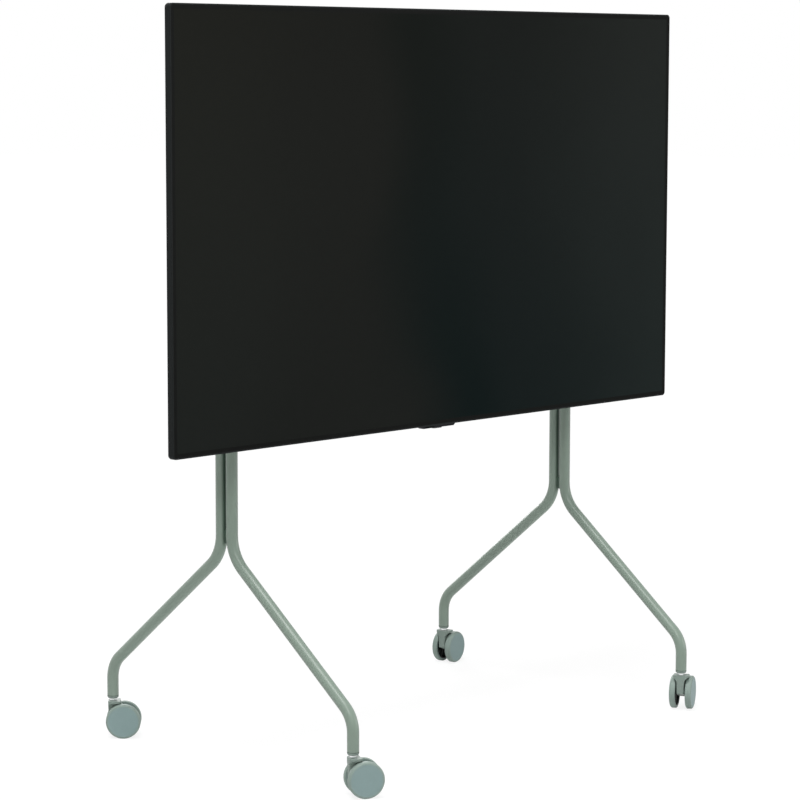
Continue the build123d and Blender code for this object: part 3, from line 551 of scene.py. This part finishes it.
FINISH_OF_SLOT = {
    "sage_paint": SAGE_POWDER_COAT,
    "sage_plastic": SAGE_MOULDED,
    "wheel_plastic": SAGE_MOULDED,
    "bright_steel": BRIGHT_ZINC,
    "black_frame": BLACK_FRAME_COAT,
    "screen_glass": SCREEN_GLASS,
    "panel_grey": PANEL_FILM,
    "chassis_steel": CHASSIS_STEEL,
    "black_plastic": BLACK_MOULDED,
    "button_black": BUTTON_BLACK,
    "black_screw": SCREW_BLACK,
    "circuit_green": SOLDER_MASK,
    "port_metal": PORT_NICKEL,
    "pin_brass": PIN_BRASS,
}

WHEELS = [(corner, number) for corner in CORNERS for number in (1, 2)]
WHEEL_FINISH = {wheel: wheel_finish(*wheel) for wheel in WHEELS}


def give_finish(node, finish):
    """Puts a finish on every material slot of a CAD node."""
    for holder in nodes[node].material_slots:
        holder.material = finish


for entry in frame["record"]["subparts"]:
    give_finish(entry["node"], FINISH_OF_SLOT[entry["material_slot"]])
for name in ("rail_screws", "mounting_screws", "arm_lock_screws"):
    give_finish(name, DULL_ZINC)
for (corner, number), finish in WHEEL_FINISH.items():
    give_finish(f"wheel_{corner}_{number}", finish)


# ---------------------------------------------------------------- mesh making

# An edge that turns by more than this many radians is drawn sharp.
SHARP_TURN = 0.6
# How far the foot of a raised detail is sunk into the part that carries it.
FOOT_SINK = 0.0002
WELD_STEP = 0.0005
WELD_SIDES = 8
WELD_STATIONS_A_RIPPLE = 4
WELD_RIPPLE, WELD_CHANCE, WELD_LEAN = 0.16, 0.03, 0.0004


def skin_rings(shape, rings, looped=False):
    """Joins a row of equal rings of points with faces; an open row gets end caps."""
    loops = [[shape.verts.new(point) for point in ring] for ring in rings]
    pairs = list(zip(loops, loops[1:]))
    if looped:
        pairs.append((loops[-1], loops[0]))
    for first, second in pairs:
        for n in range(len(first)):
            after = (n + 1) % len(first)
            shape.faces.new((first[n], first[after], second[after], second[n]))
    if not looped:
        shape.faces.new(list(reversed(loops[0])))
        shape.faces.new(loops[-1])


def add_piece(name, shape, slot, body, finish=None, sharp=SHARP_TURN):
    """Turns a finished shape into a piece that rides on a body and takes a slot's finish."""
    bmesh.ops.recalc_face_normals(shape, faces=shape.faces)
    for face in shape.faces:
        face.smooth = True
    for edge in shape.edges:
        edge.smooth = edge.calc_face_angle(0.0) < sharp
    mesh = bpy.data.meshes.new(name)
    shape.to_mesh(mesh)
    shape.free()
    mesh.materials.append(finish or FINISH_OF_SLOT[slot])
    piece = bpy.data.objects.new(name, mesh)
    bpy.context.collection.objects.link(piece)
    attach(piece, body)
    return piece


def rounded_outline(width, height, corner, steps=6):
    """Points around a rounded rectangle about the origin, with the same count for any size."""
    points = []
    for turn in range(4):
        middle_u = (width / 2 - corner) * (1 if turn in (0, 3) else -1)
        middle_v = (height / 2 - corner) * (1 if turn in (0, 1) else -1)
        for step in range(steps + 1):
            angle = math.radians(90 * turn + 90 * step / steps)
            points.append((middle_u + corner * math.cos(angle), middle_v + corner * math.sin(angle)))
    return points


def on_back(centre_x, centre_z, level_y):
    """Places sketch points on a face that looks backward; the third number stands out of it."""
    return lambda u, v, out: Vector((centre_x - u, level_y + out, centre_z + v))


def on_front(centre_x, centre_z, level_y):
    """Places sketch points on a face that looks forward; the third number stands out of it."""
    return lambda u, v, out: Vector((centre_x + u, level_y - out, centre_z + v))


def raised_pad(shape, place, size, corner, height, bevel):
    """A low rounded pad with a bevelled top edge."""
    width, tall = size
    rows = [(0.0, -FOOT_SINK), (0.0, height - bevel)]
    rows += [(bevel * 0.3, height - bevel * 0.3), (bevel, height)]
    rings = []
    for inset, out in rows:
        outline = rounded_outline(width - 2 * inset, tall - 2 * inset, corner - inset)
        rings.append([place(u, v, out) for u, v in outline])
    skin_rings(shape, rings)


def raised_lip(shape, place, size, corner, width, height):
    """A raised rounded bead that runs round a rounded rectangle."""
    section = [(0.0, -FOOT_SINK), (0.0, 0.5 * height), (0.25 * width, 0.9 * height)]
    section += [(0.5 * width, height)] + [(width - u, out) for u, out in reversed(section)]
    outlines = []
    for inset, out in section:
        outline = rounded_outline(size[0] - 2 * inset, size[1] - 2 * inset, corner - inset)
        outlines.append([place(u, v, out) for u, v in outline])
    skin_rings(shape, [list(ring) for ring in zip(*outlines)], looped=True)


def along_path(points, step, looped):
    """Evenly spaced stations on a row of straight runs, with the direction at each."""
    points = [Vector(point) for point in points]
    if looped:
        points.append(points[0])
    spans = [(b - a).length for a, b in zip(points, points[1:])]
    count = max(4, round(sum(spans) / step))
    stations, run, start = [], 0, 0.0
    for n in range(count if looped else count + 1):
        target = sum(spans) * n / count
        while run < len(spans) - 1 and start + spans[run] < target:
            start += spans[run]
            run += 1
        share = (target - start) / spans[run]
        heading = (points[run + 1] - points[run]).normalized()
        stations.append((points[run].lerp(points[run + 1], share), heading))
    return stations


def weld_bead(shape, points, radius, seed, looped=False):
    """A bead of weld: a rounded cord with the overlapping ripples of the pool that laid it."""
    chance = random.Random(seed)
    stations = along_path(points, WELD_STEP, looped)
    rings = []
    for n, (middle, heading) in enumerate(stations):
        side = heading.cross(Vector((1.0, 0.0, 0.0))).normalized()
        up = side.cross(heading)
        wave = abs(math.sin(math.pi * n / WELD_STATIONS_A_RIPPLE))
        ripple = 1 + WELD_RIPPLE * wave + chance.uniform(-WELD_CHANCE, WELD_CHANCE)
        if not looped:
            ripple *= min(1.0, 0.45 + 0.2 * min(n, len(stations) - 1 - n))
        ring = []
        for turn in range(WELD_SIDES):
            angle = math.tau * turn / WELD_SIDES
            lean = WELD_LEAN * math.sin(angle)
            arm = (side * math.cos(angle) + up * math.sin(angle)) * radius * ripple
            ring.append(middle + arm + heading * lean)
        rings.append(ring)
    skin_rings(shape, rings, looped)


def islands(node):
    """The low and high corner of each separate solid in a CAD node's mesh, in a fixed order."""
    shape = bmesh.new()
    shape.from_mesh(nodes[node].data)
    bmesh.ops.remove_doubles(shape, verts=shape.verts, dist=0.000001)
    shape.verts.ensure_lookup_table()
    seen, found = set(), []
    for first in shape.verts:
        if first.index in seen:
            continue
        seen.add(first.index)
        front, group = [first], [first.co.copy()]
        while front:
            for edge in front.pop().link_edges:
                for vertex in edge.verts:
                    if vertex.index not in seen:
                        seen.add(vertex.index)
                        front.append(vertex)
                        group.append(vertex.co.copy())
        low = Vector([min(point[axis] for point in group) for axis in range(3)])
        high = Vector([max(point[axis] for point in group) for axis in range(3)])
        found.append((low, high))
    shape.free()
    return sorted(found, key=lambda box: tuple(round(value, 4) for value in box[0]))


# ---------------------------------------------------------------- welds on the stand

SADDLE_SEAT = 1.6 * MM
POST_WELD_OUT, POST_WELD_IN, POST_WELD_SHORT, POST_WELD_RADIUS = 0.0011, 0.0006, 0.008, 0.0017
RAIL_END_PLATE, RAIL_WELD_SINK, RAIL_WELD_RADIUS = 0.004, 0.0004, 0.0016
RAIL_WELD_WIDTH, RAIL_WELD_HEIGHT, RAIL_WELD_CORNER = 0.0258, 0.0408, 0.0034
SPACER_WELD_SINK, SPACER_WELD_SHORT, SPACER_WELD_RADIUS = 0.0002, 0.003, 0.0009
# Each weld has a seed of its own, counted up from its kind's first one.
POST_WELD_SEED, RAIL_WELD_SEED, SPACER_WELD_SEED = 10, 30, 50

half_seat = math.sqrt(POST_RADIUS**2 - (POST_RADIUS - SADDLE_SEAT) ** 2)
post_welds = bmesh.new()
for number, (low, high) in enumerate(islands("saddle_plates")):
    outer = high[0] if high[0] > 0 else low[0]
    toward_post = POST_WELD_IN if outer > 0 else -POST_WELD_IN
    for side in (-1, 1):
        weld_y = side * (POST_OFFSET + half_seat + POST_WELD_OUT)
        heights = (low[2] + POST_WELD_SHORT, high[2] - POST_WELD_SHORT)
        ends = [(outer + toward_post, weld_y, z) for z in heights]
        seed = POST_WELD_SEED + 2 * number + (side > 0)
        weld_bead(post_welds, ends, POST_WELD_RADIUS, seed)
add_piece("post_weld_beads", post_welds, "sage_paint", "stand")

for label in ("lower", "upper"):
    rail_welds = bmesh.new()
    low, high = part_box(f"{label}_rail")
    middle_z = (low[2] + high[2]) / 2
    loop = rounded_outline(RAIL_WELD_WIDTH, RAIL_WELD_HEIGHT, RAIL_WELD_CORNER)
    for side in (-1, 1):
        face_x = side * (high[0] - RAIL_END_PLATE - RAIL_WELD_SINK)
        points = [(face_x, u, middle_z + v) for u, v in loop]
        weld_bead(rail_welds, points, RAIL_WELD_RADIUS, RAIL_WELD_SEED + side, looped=True)
    add_piece(f"{label}_rail_weld_beads", rail_welds, "sage_paint", "stand")

spacer_welds = bmesh.new()
for number, (low, high) in enumerate(islands("post_spacers")):
    for x in (low[0], high[0]):
        for side in (-1, 1):
            reach = POST_OFFSET - math.sqrt(POST_RADIUS**2 - ((high[0] - low[0]) / 2) ** 2)
            heights = (low[2] + SPACER_WELD_SHORT, high[2] - SPACER_WELD_SHORT)
            ends = [(x, side * (reach - SPACER_WELD_SINK), z) for z in heights]
            seed = SPACER_WELD_SEED + 4 * number + 2 * (x > 0) + (side > 0)
            weld_bead(spacer_welds, ends, SPACER_WELD_RADIUS, seed)
add_piece("spacer_weld_beads", spacer_welds, "sage_paint", "stand")

# ---------------------------------------------------------------- seams where parts meet, as black bands of painted shade

SEAM_DEPTH = 0.0006
SEAM_SIDES = 48
FOOT_SEAM_HEIGHT, FOOT_SEAM_PROUD = 0.0007, 0.00006
CAP_SEAM_HEIGHT, CAP_SEAM_PROUD, CAP_SEAM_DROP = 0.0006, 0.00005, 0.003
# Keeps the arc of a seam's outline just short of a half circle.
ARC_SHORT = 0.00001


def seam_section(height, proud):
    """A seam's cut: how far each point stands out of the surface, and how high it lies."""
    half = height / 2
    return [(-SEAM_DEPTH, -half), (proud, -half), (proud, half), (-SEAM_DEPTH, half)]


def seam_band(shape, centre, level, radius, height, proud):
    """A fine raised line round an upright tube, black for the painted shade of a hairline gap."""
    section = seam_section(height, proud)
    rings = []
    for n in range(SEAM_SIDES):
        angle = math.tau * n / SEAM_SIDES
        out = Vector((math.cos(angle), math.sin(angle), 0.0))
        ring = [Vector((*centre, level + rise)) + out * (radius + depth) for depth, rise in section]
        rings.append(ring)
    skin_rings(shape, rings, looped=True)


# Black bands of painted shade where the foot sockets meet the tubes.
foot_seam_shade_bands = bmesh.new()
for label in ("left", "right"):
    for side in ("front", "rear"):
        low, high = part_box(f"foot_socket_{side}_{label}")
        tube_low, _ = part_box(f"leg_tube_{label}_{side}")
        centre = ((low[0] + high[0]) / 2, (low[1] + high[1]) / 2)
        radius = (high[0] - low[0]) / 2
        seam_band(foot_seam_shade_bands, centre, tube_low[2], radius, FOOT_SEAM_HEIGHT, FOOT_SEAM_PROUD)
add_piece("foot_seam_shade_bands", foot_seam_shade_bands, "black_plastic", "stand")

# Black bands of painted shade along the post caps' seams.
cap_seam_shade_bands = bmesh.new()
for label in ("left", "right"):
    low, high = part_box(f"post_cap_{label}")
    middle = (low[0] + high[0]) / 2
    level = high[2] - CAP_SEAM_DROP
    width, depth_y = high[0] - low[0], high[1] - low[1]
    section = seam_section(CAP_SEAM_HEIGHT, CAP_SEAM_PROUD)
    rings = []
    for u, v in rounded_outline(width, depth_y, width / 2 - ARC_SHORT, steps=12):
        out = Vector((u, v, 0.0)).normalized()
        rings.append([Vector((middle + u, v, level + rise)) + out * depth for depth, rise in section])
    skin_rings(cap_seam_shade_bands, rings, looped=True)
add_piece("post_cap_seams", cap_seam_shade_bands, "black_plastic", "stand")

# ---------------------------------------------------------------- display details


def recess_angles(arm_half, arm_reach):
    """A cross recess's half angle at an arm's end, and the degrees of its points in a quarter."""
    lean = math.degrees(math.atan2(arm_half, arm_reach))
    return lean, (-lean, -lean / 2, 0.0, lean / 2, lean, 25.0, 35.0, 45.0, 55.0, 65.0)


def cross_ring(place, arm_half, arm_reach, out):
    """The outline of a cross recess, as 40 points in step with those of a circle."""
    lean, steps = recess_angles(arm_half, arm_reach)
    points = []
    for quarter in range(4):
        for degrees in steps:
            folded = abs(degrees) if degrees <= 45 else 90 - degrees
            if folded <= lean + 0.001:
                reach = arm_reach / math.cos(math.radians(folded))
            else:
                reach = arm_half / math.sin(math.radians(folded))
            angle = math.radians(degrees + 90 * quarter)
            points.append(place(reach * math.cos(angle), reach * math.sin(angle), out))
    return points


def circle_in_step(place, radius, out, arm_half, arm_reach):
    """A circle whose points stand at the same angles as those of a cross recess."""
    _, steps = recess_angles(arm_half, arm_reach)
    points = []
    for quarter in range(4):
        for degrees in steps:
            angle = math.radians(degrees + 90 * quarter)
            points.append(place(radius * math.cos(angle), radius * math.sin(angle), out))
    return points


SCREW_HEAD = 1.2 * MM
SCREW_SHANK = 2.0 * MM
# The rounding of a head's rim: how far in, and how far below its top.
HEAD_RIM = ((0.0, 0.0006), (0.0002, 0.00025), (0.0007, 0.0))
# A cross recess: half an arm's width, an arm's reach, the share of each left at its floor, its depth.
CROSS = (0.00042, 0.0019)
CROSS_FLOOR_SHARE = (0.8, 0.55)
CROSS_DEPTH = 0.00085

screw_heads = bmesh.new()
for low, high in islands("cover_screws"):
    place = on_back((low[0] + high[0]) / 2, (low[2] + high[2]) / 2, high[1] - SCREW_HEAD)
    radius = (high[0] - low[0]) / 2
    circles = [(SCREW_SHANK, low[1] - high[1] + SCREW_HEAD), (SCREW_SHANK, 0.0), (radius, 0.0)]
    circles += [(radius - inset, SCREW_HEAD - drop) for inset, drop in HEAD_RIM]
    rings = [circle_in_step(place, *circle, *CROSS) for circle in circles]
    rings.append(cross_ring(place, *CROSS, SCREW_HEAD))
    floor_cross = [size * share for size, share in zip(CROSS, CROSS_FLOOR_SHARE)]
    rings.append(cross_ring(place, *floor_cross, SCREW_HEAD - CROSS_DEPTH))
    skin_rings(screw_heads, rings)
heads = add_piece("cover_screws_cross_head", screw_heads, "black_screw", "stand", sharp=0.5)
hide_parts("cover_screws")

housing_low, housing_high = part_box("sensor_housing")
housing_z = (housing_low[2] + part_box("bezel_frame")[0][2]) / 2
# Each pad on the sensor housing: name, place across, size, corner, height and bevel.
HOUSING_PADS = (
    ("remote_window", -0.026, (0.026, 0.0034), 0.0016, 0.0003, 0.0002),
    ("status_light", 0.027, (0.0022, 0.0022), 0.00109, 0.0004, 0.0003),
)
for name, across, size, corner_radius, height, bevel in HOUSING_PADS:
    pad = bmesh.new()
    place = on_front(across, housing_z, housing_low[1])
    raised_pad(pad, place, size, corner_radius, height, bevel)
    add_piece(name, pad, "screen_glass", "stand")

BORDER_WIDTH, BORDER_PROUD, BORDER_SINK = 0.0075, 0.00003, 0.0001
GLASS_CORNER, SMALLEST_CORNER = 0.005, 0.0005
BORDER_SECTION = (
    (0.0, -BORDER_SINK),
    (0.0, BORDER_PROUD),
    (BORDER_WIDTH, BORDER_PROUD),
    (BORDER_WIDTH, -BORDER_SINK),
)

border = bmesh.new()
glass_low, glass_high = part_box("cover_glass")
glass_middle = ((glass_low[0] + glass_high[0]) / 2, (glass_low[2] + glass_high[2]) / 2)
place = on_front(*glass_middle, glass_low[1])
outlines = []
for inset, out in BORDER_SECTION:
    size = (glass_high[0] - glass_low[0] - 2 * inset, glass_high[2] - glass_low[2] - 2 * inset)
    outline = rounded_outline(*size, max(SMALLEST_CORNER, GLASS_CORNER - inset))
    outlines.append([place(u, v, out) for u, v in outline])
skin_rings(border, [list(ring) for ring in zip(*outlines)], looped=True)
add_piece("picture_border", border, "black_frame", "stand", BORDER_PRINT)

LIP_MARGIN, LIP_CORNER, LIP_WIDTH, LIP_HEIGHT = 0.005, 0.004, 0.0022, 0.0009
for node in ("port_recess", "inlet_recess"):
    low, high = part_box(node)
    lip = bmesh.new()
    place = on_back((low[0] + high[0]) / 2, (low[2] + high[2]) / 2, high[1])
    size = (high[0] - low[0] + LIP_MARGIN, high[2] - low[2] + LIP_MARGIN)
    raised_lip(lip, place, size, LIP_CORNER, LIP_WIDTH, LIP_HEIGHT)
    add_piece(f"{node}_lip", lip, "black_plastic", "stand")

# A socket taller than this is the network one, with eight contacts and two lights.
NETWORK_SOCKET_HEIGHT = 0.01
NETWORK_CONTACTS, VIDEO_CONTACTS = 8, 9
CONTACT_ROW_SHARE, CONTACT_RAISE = 0.42, 0.0008
CONTACT_START, CONTACT_SHORT = 0.0015, 0.0022
CONTACT_SECTION = ((-0.0002, -0.0001), (0.0002, -0.0001), (0.0002, 0.0002), (-0.0002, 0.0002))
LIGHT_SHARE, LIGHT_DROP, LIGHT_BACK = 0.3, 0.0021, 0.006
LIGHT_SIZE, LIGHT_CORNER, LIGHT_LENGTH, LIGHT_BEVEL = (0.0026, 0.0016), 0.0003, 0.0028, 0.0002

contacts = bmesh.new()
network_lights = bmesh.new()
for low, high in islands("ports"):
    width, tall = high[0] - low[0], high[2] - low[2]
    middle_x, middle_z = (low[0] + high[0]) / 2, (low[2] + high[2]) / 2
    network = tall > NETWORK_SOCKET_HEIGHT
    count = NETWORK_CONTACTS if network else VIDEO_CONTACTS
    for n in range(count):
        x = middle_x + (n - (count - 1) / 2) * (CONTACT_ROW_SHARE * width / count)
        place = on_back(x, middle_z + CONTACT_RAISE, low[1])
        ends = (CONTACT_START, high[1] - low[1] - CONTACT_SHORT)
        skin_rings(contacts, [[place(u, v, out) for u, v in CONTACT_SECTION] for out in ends])
    if network:
        for side in (-1, 1):
            across = middle_x + side * LIGHT_SHARE * width
            place = on_back(across, high[2] - LIGHT_DROP, low[1] + LIGHT_BACK)
            raised_pad(network_lights, place, LIGHT_SIZE, LIGHT_CORNER, LIGHT_LENGTH, LIGHT_BEVEL)
add_piece("port_contacts", contacts, "pin_brass", "stand")
add_piece("network_lights", network_lights, "black_plastic", "stand")

# ---------------------------------------------------------------- wheel ribs

SPOKES = 10
# A spoke's radius and half thickness at the hub and at the rim.
SPOKE_ENDS = ((0.0076, 0.0008), (0.0288, 0.0006))
SPOKE_EDGE = 0.0135
SPOKE_ROOT = WHEEL_WEB + 0.0001
SPOKE_FLARE = 1.3


def wheel_ribs(corner, number):
    """Thin spokes inside a hollow wheel, between its hub and its rim."""
    centre, axle = wheel_axle(corner, number)
    up = Vector((0.0, 0.0, 1.0))
    flat = axle.cross(up)
    shape = bmesh.new()
    for n in range(SPOKES):
        angle = math.tau * (n + 0.5) / SPOKES
        spoke = up * math.cos(angle) + flat * math.sin(angle)
        thick = spoke.cross(axle)
        rings = []
        for radius, half in SPOKE_ENDS:
            base = centre + spoke * radius
            root = half * SPOKE_FLARE
            section = [(-half, SPOKE_EDGE), (half, SPOKE_EDGE), (root, SPOKE_ROOT), (-root, SPOKE_ROOT)]
            rings.append([base + thick * u + axle * w for u, w in section])
        skin_rings(shape, rings)
    name, body = f"wheel_ribs_{corner}_{number}", f"wheel_{corner}_{number}"
    add_piece(name, shape, "wheel_plastic", body, WHEEL_FINISH[corner, number])


for wheel in WHEELS:
    wheel_ribs(*wheel)

# ---------------------------------------------------------------- studio

# The floor's own white, and how much of it the camera sees, near the stand and far from it.
FLOOR_WHITE = (1.14, 1.02)
FLOOR_WHITE_SHARE = (0.75, 1.0)
FLOOR_NEAR, FLOOR_FAR = 1.0, 3.0
FLOOR_REACH = 30.0
FLOOR_GREY, FLOOR_ROUGHNESS = 0.8, 0.9
WORLD_STRENGTH = 0.07


def seen_directly(tree):
    """One for camera, glossy and transmitted rays, nought for the rest."""
    path = tree.nodes.new("ShaderNodeLightPath")
    seen = arithmetic(tree, "MAXIMUM", path.outputs["Is Camera Ray"], path.outputs["Is Glossy Ray"])
    return arithmetic(tree, "MAXIMUM", seen, path.outputs["Is Transmission Ray"])


world = bpy.data.worlds.new("studio")
bpy.context.scene.world = world
world.use_nodes = True
sky_tree = world.node_tree
sky = sky_tree.nodes["Background"]
sky.inputs["Color"].default_value = (1.0, 1.0, 1.0, 1.0)
sky_strength = spread(sky_tree, seen_directly(sky_tree), 0.0, 1.0, WORLD_STRENGTH, 1.0)
sky_tree.links.new(sky_strength, sky.inputs["Strength"])

floor_mesh = bpy.data.meshes.new("studio_floor")
floor_corners = [(x * FLOOR_REACH, y * FLOOR_REACH, 0) for x, y in ((-1, -1), (1, -1), (1, 1), (-1, 1))]
floor_mesh.from_pydata(floor_corners, [], [(0, 1, 2, 3)])
floor = bpy.data.objects.new("studio_floor", floor_mesh)
bpy.context.collection.objects.link(floor)

floor_paper = bpy.data.materials.new("floor_paper")
floor_paper.use_nodes = True
paper_tree = floor_paper.node_tree
paper = paper_tree.nodes["Principled BSDF"]
paper.inputs["Base Color"].default_value = (FLOOR_GREY, FLOOR_GREY, FLOOR_GREY, 1.0)
paper.inputs["Roughness"].default_value = FLOOR_ROUGHNESS
paper.inputs["Specular IOR Level"].default_value = 0.0
backlit = paper_tree.nodes.new("ShaderNodeEmission")
paper_place = paper_tree.nodes.new("ShaderNodeTexCoord").outputs["Object"]
distance = vector_step(paper_tree, "LENGTH", paper_place, None)
white = spread(paper_tree, distance, FLOOR_NEAR, FLOOR_FAR, *FLOOR_WHITE)
share = spread(paper_tree, distance, FLOOR_NEAR, FLOOR_FAR, *FLOOR_WHITE_SHARE)
paper_tree.links.new(white, backlit.inputs["Strength"])
lift = paper_tree.nodes.new("ShaderNodeMixShader")
paper_seen = seen_directly(paper_tree)
paper_tree.links.new(arithmetic(paper_tree, "MULTIPLY", paper_seen, share), lift.inputs[0])
paper_tree.links.new(paper.outputs["BSDF"], lift.inputs[1])
paper_tree.links.new(backlit.outputs["Emission"], lift.inputs[2])
paper_tree.links.new(lift.outputs["Shader"], paper_tree.nodes["Material Output"].inputs["Surface"])
floor_mesh.materials.append(floor_paper)


def soft_box(name, place, target, size, power):
    """A square area light aimed at a point."""
    lamp = bpy.data.lights.new(name, "AREA")
    lamp.size = size
    lamp.energy = power
    holder = bpy.data.objects.new(name, lamp)
    holder.location = place
    holder.rotation_euler = (Vector(target) - Vector(place)).to_track_quat("-Z", "Y").to_euler()
    bpy.context.collection.objects.link(holder)


# Each lamp: place, target, side in metres and power in watts.
soft_box("high_key", (-1.8, -0.6, 6.0), (0.0, 0.0, 0.3), 3.0, 270.0)
soft_box("front_key", (-3.6, -3.6, 4.4), (0.0, 0.0, 0.4), 2.0, 104.0)
soft_box("right_fill", (3.0, -4.0, 1.4), (0.0, 0.0, 0.4), 2.0, 46.0)
soft_box("rear_fill", (2.6, 4.6, 2.6), (0.0, 0.0, 0.7), 3.0, 120.0)

# The lens in millimetres, the camera's place in metres, and its heading, drop and roll in degrees.
LENS, SENSOR = 125.45, 36.0
CAMERA_PLACE = (-4.0944, -3.8837, 1.3437)
CAMERA_TURN = (46.437, 6.785, 0.113)

camera_data = bpy.data.cameras.new("camera")
camera_data.lens = LENS
camera_data.sensor_width = SENSOR
camera = bpy.data.objects.new("camera", camera_data)
camera.location = CAMERA_PLACE
heading, drop, roll = (math.radians(turn) for turn in CAMERA_TURN)
aim = Vector((math.sin(heading) * math.cos(drop), math.cos(heading) * math.cos(drop), -math.sin(drop)))
level = aim.to_track_quat("-Z", "Y")
camera.rotation_euler = (level @ Quaternion((0.0, 0.0, 1.0), roll)).to_euler()
bpy.context.collection.objects.link(camera)
bpy.context.scene.camera = camera
bpy.context.scene.view_settings.view_transform = "Standard"
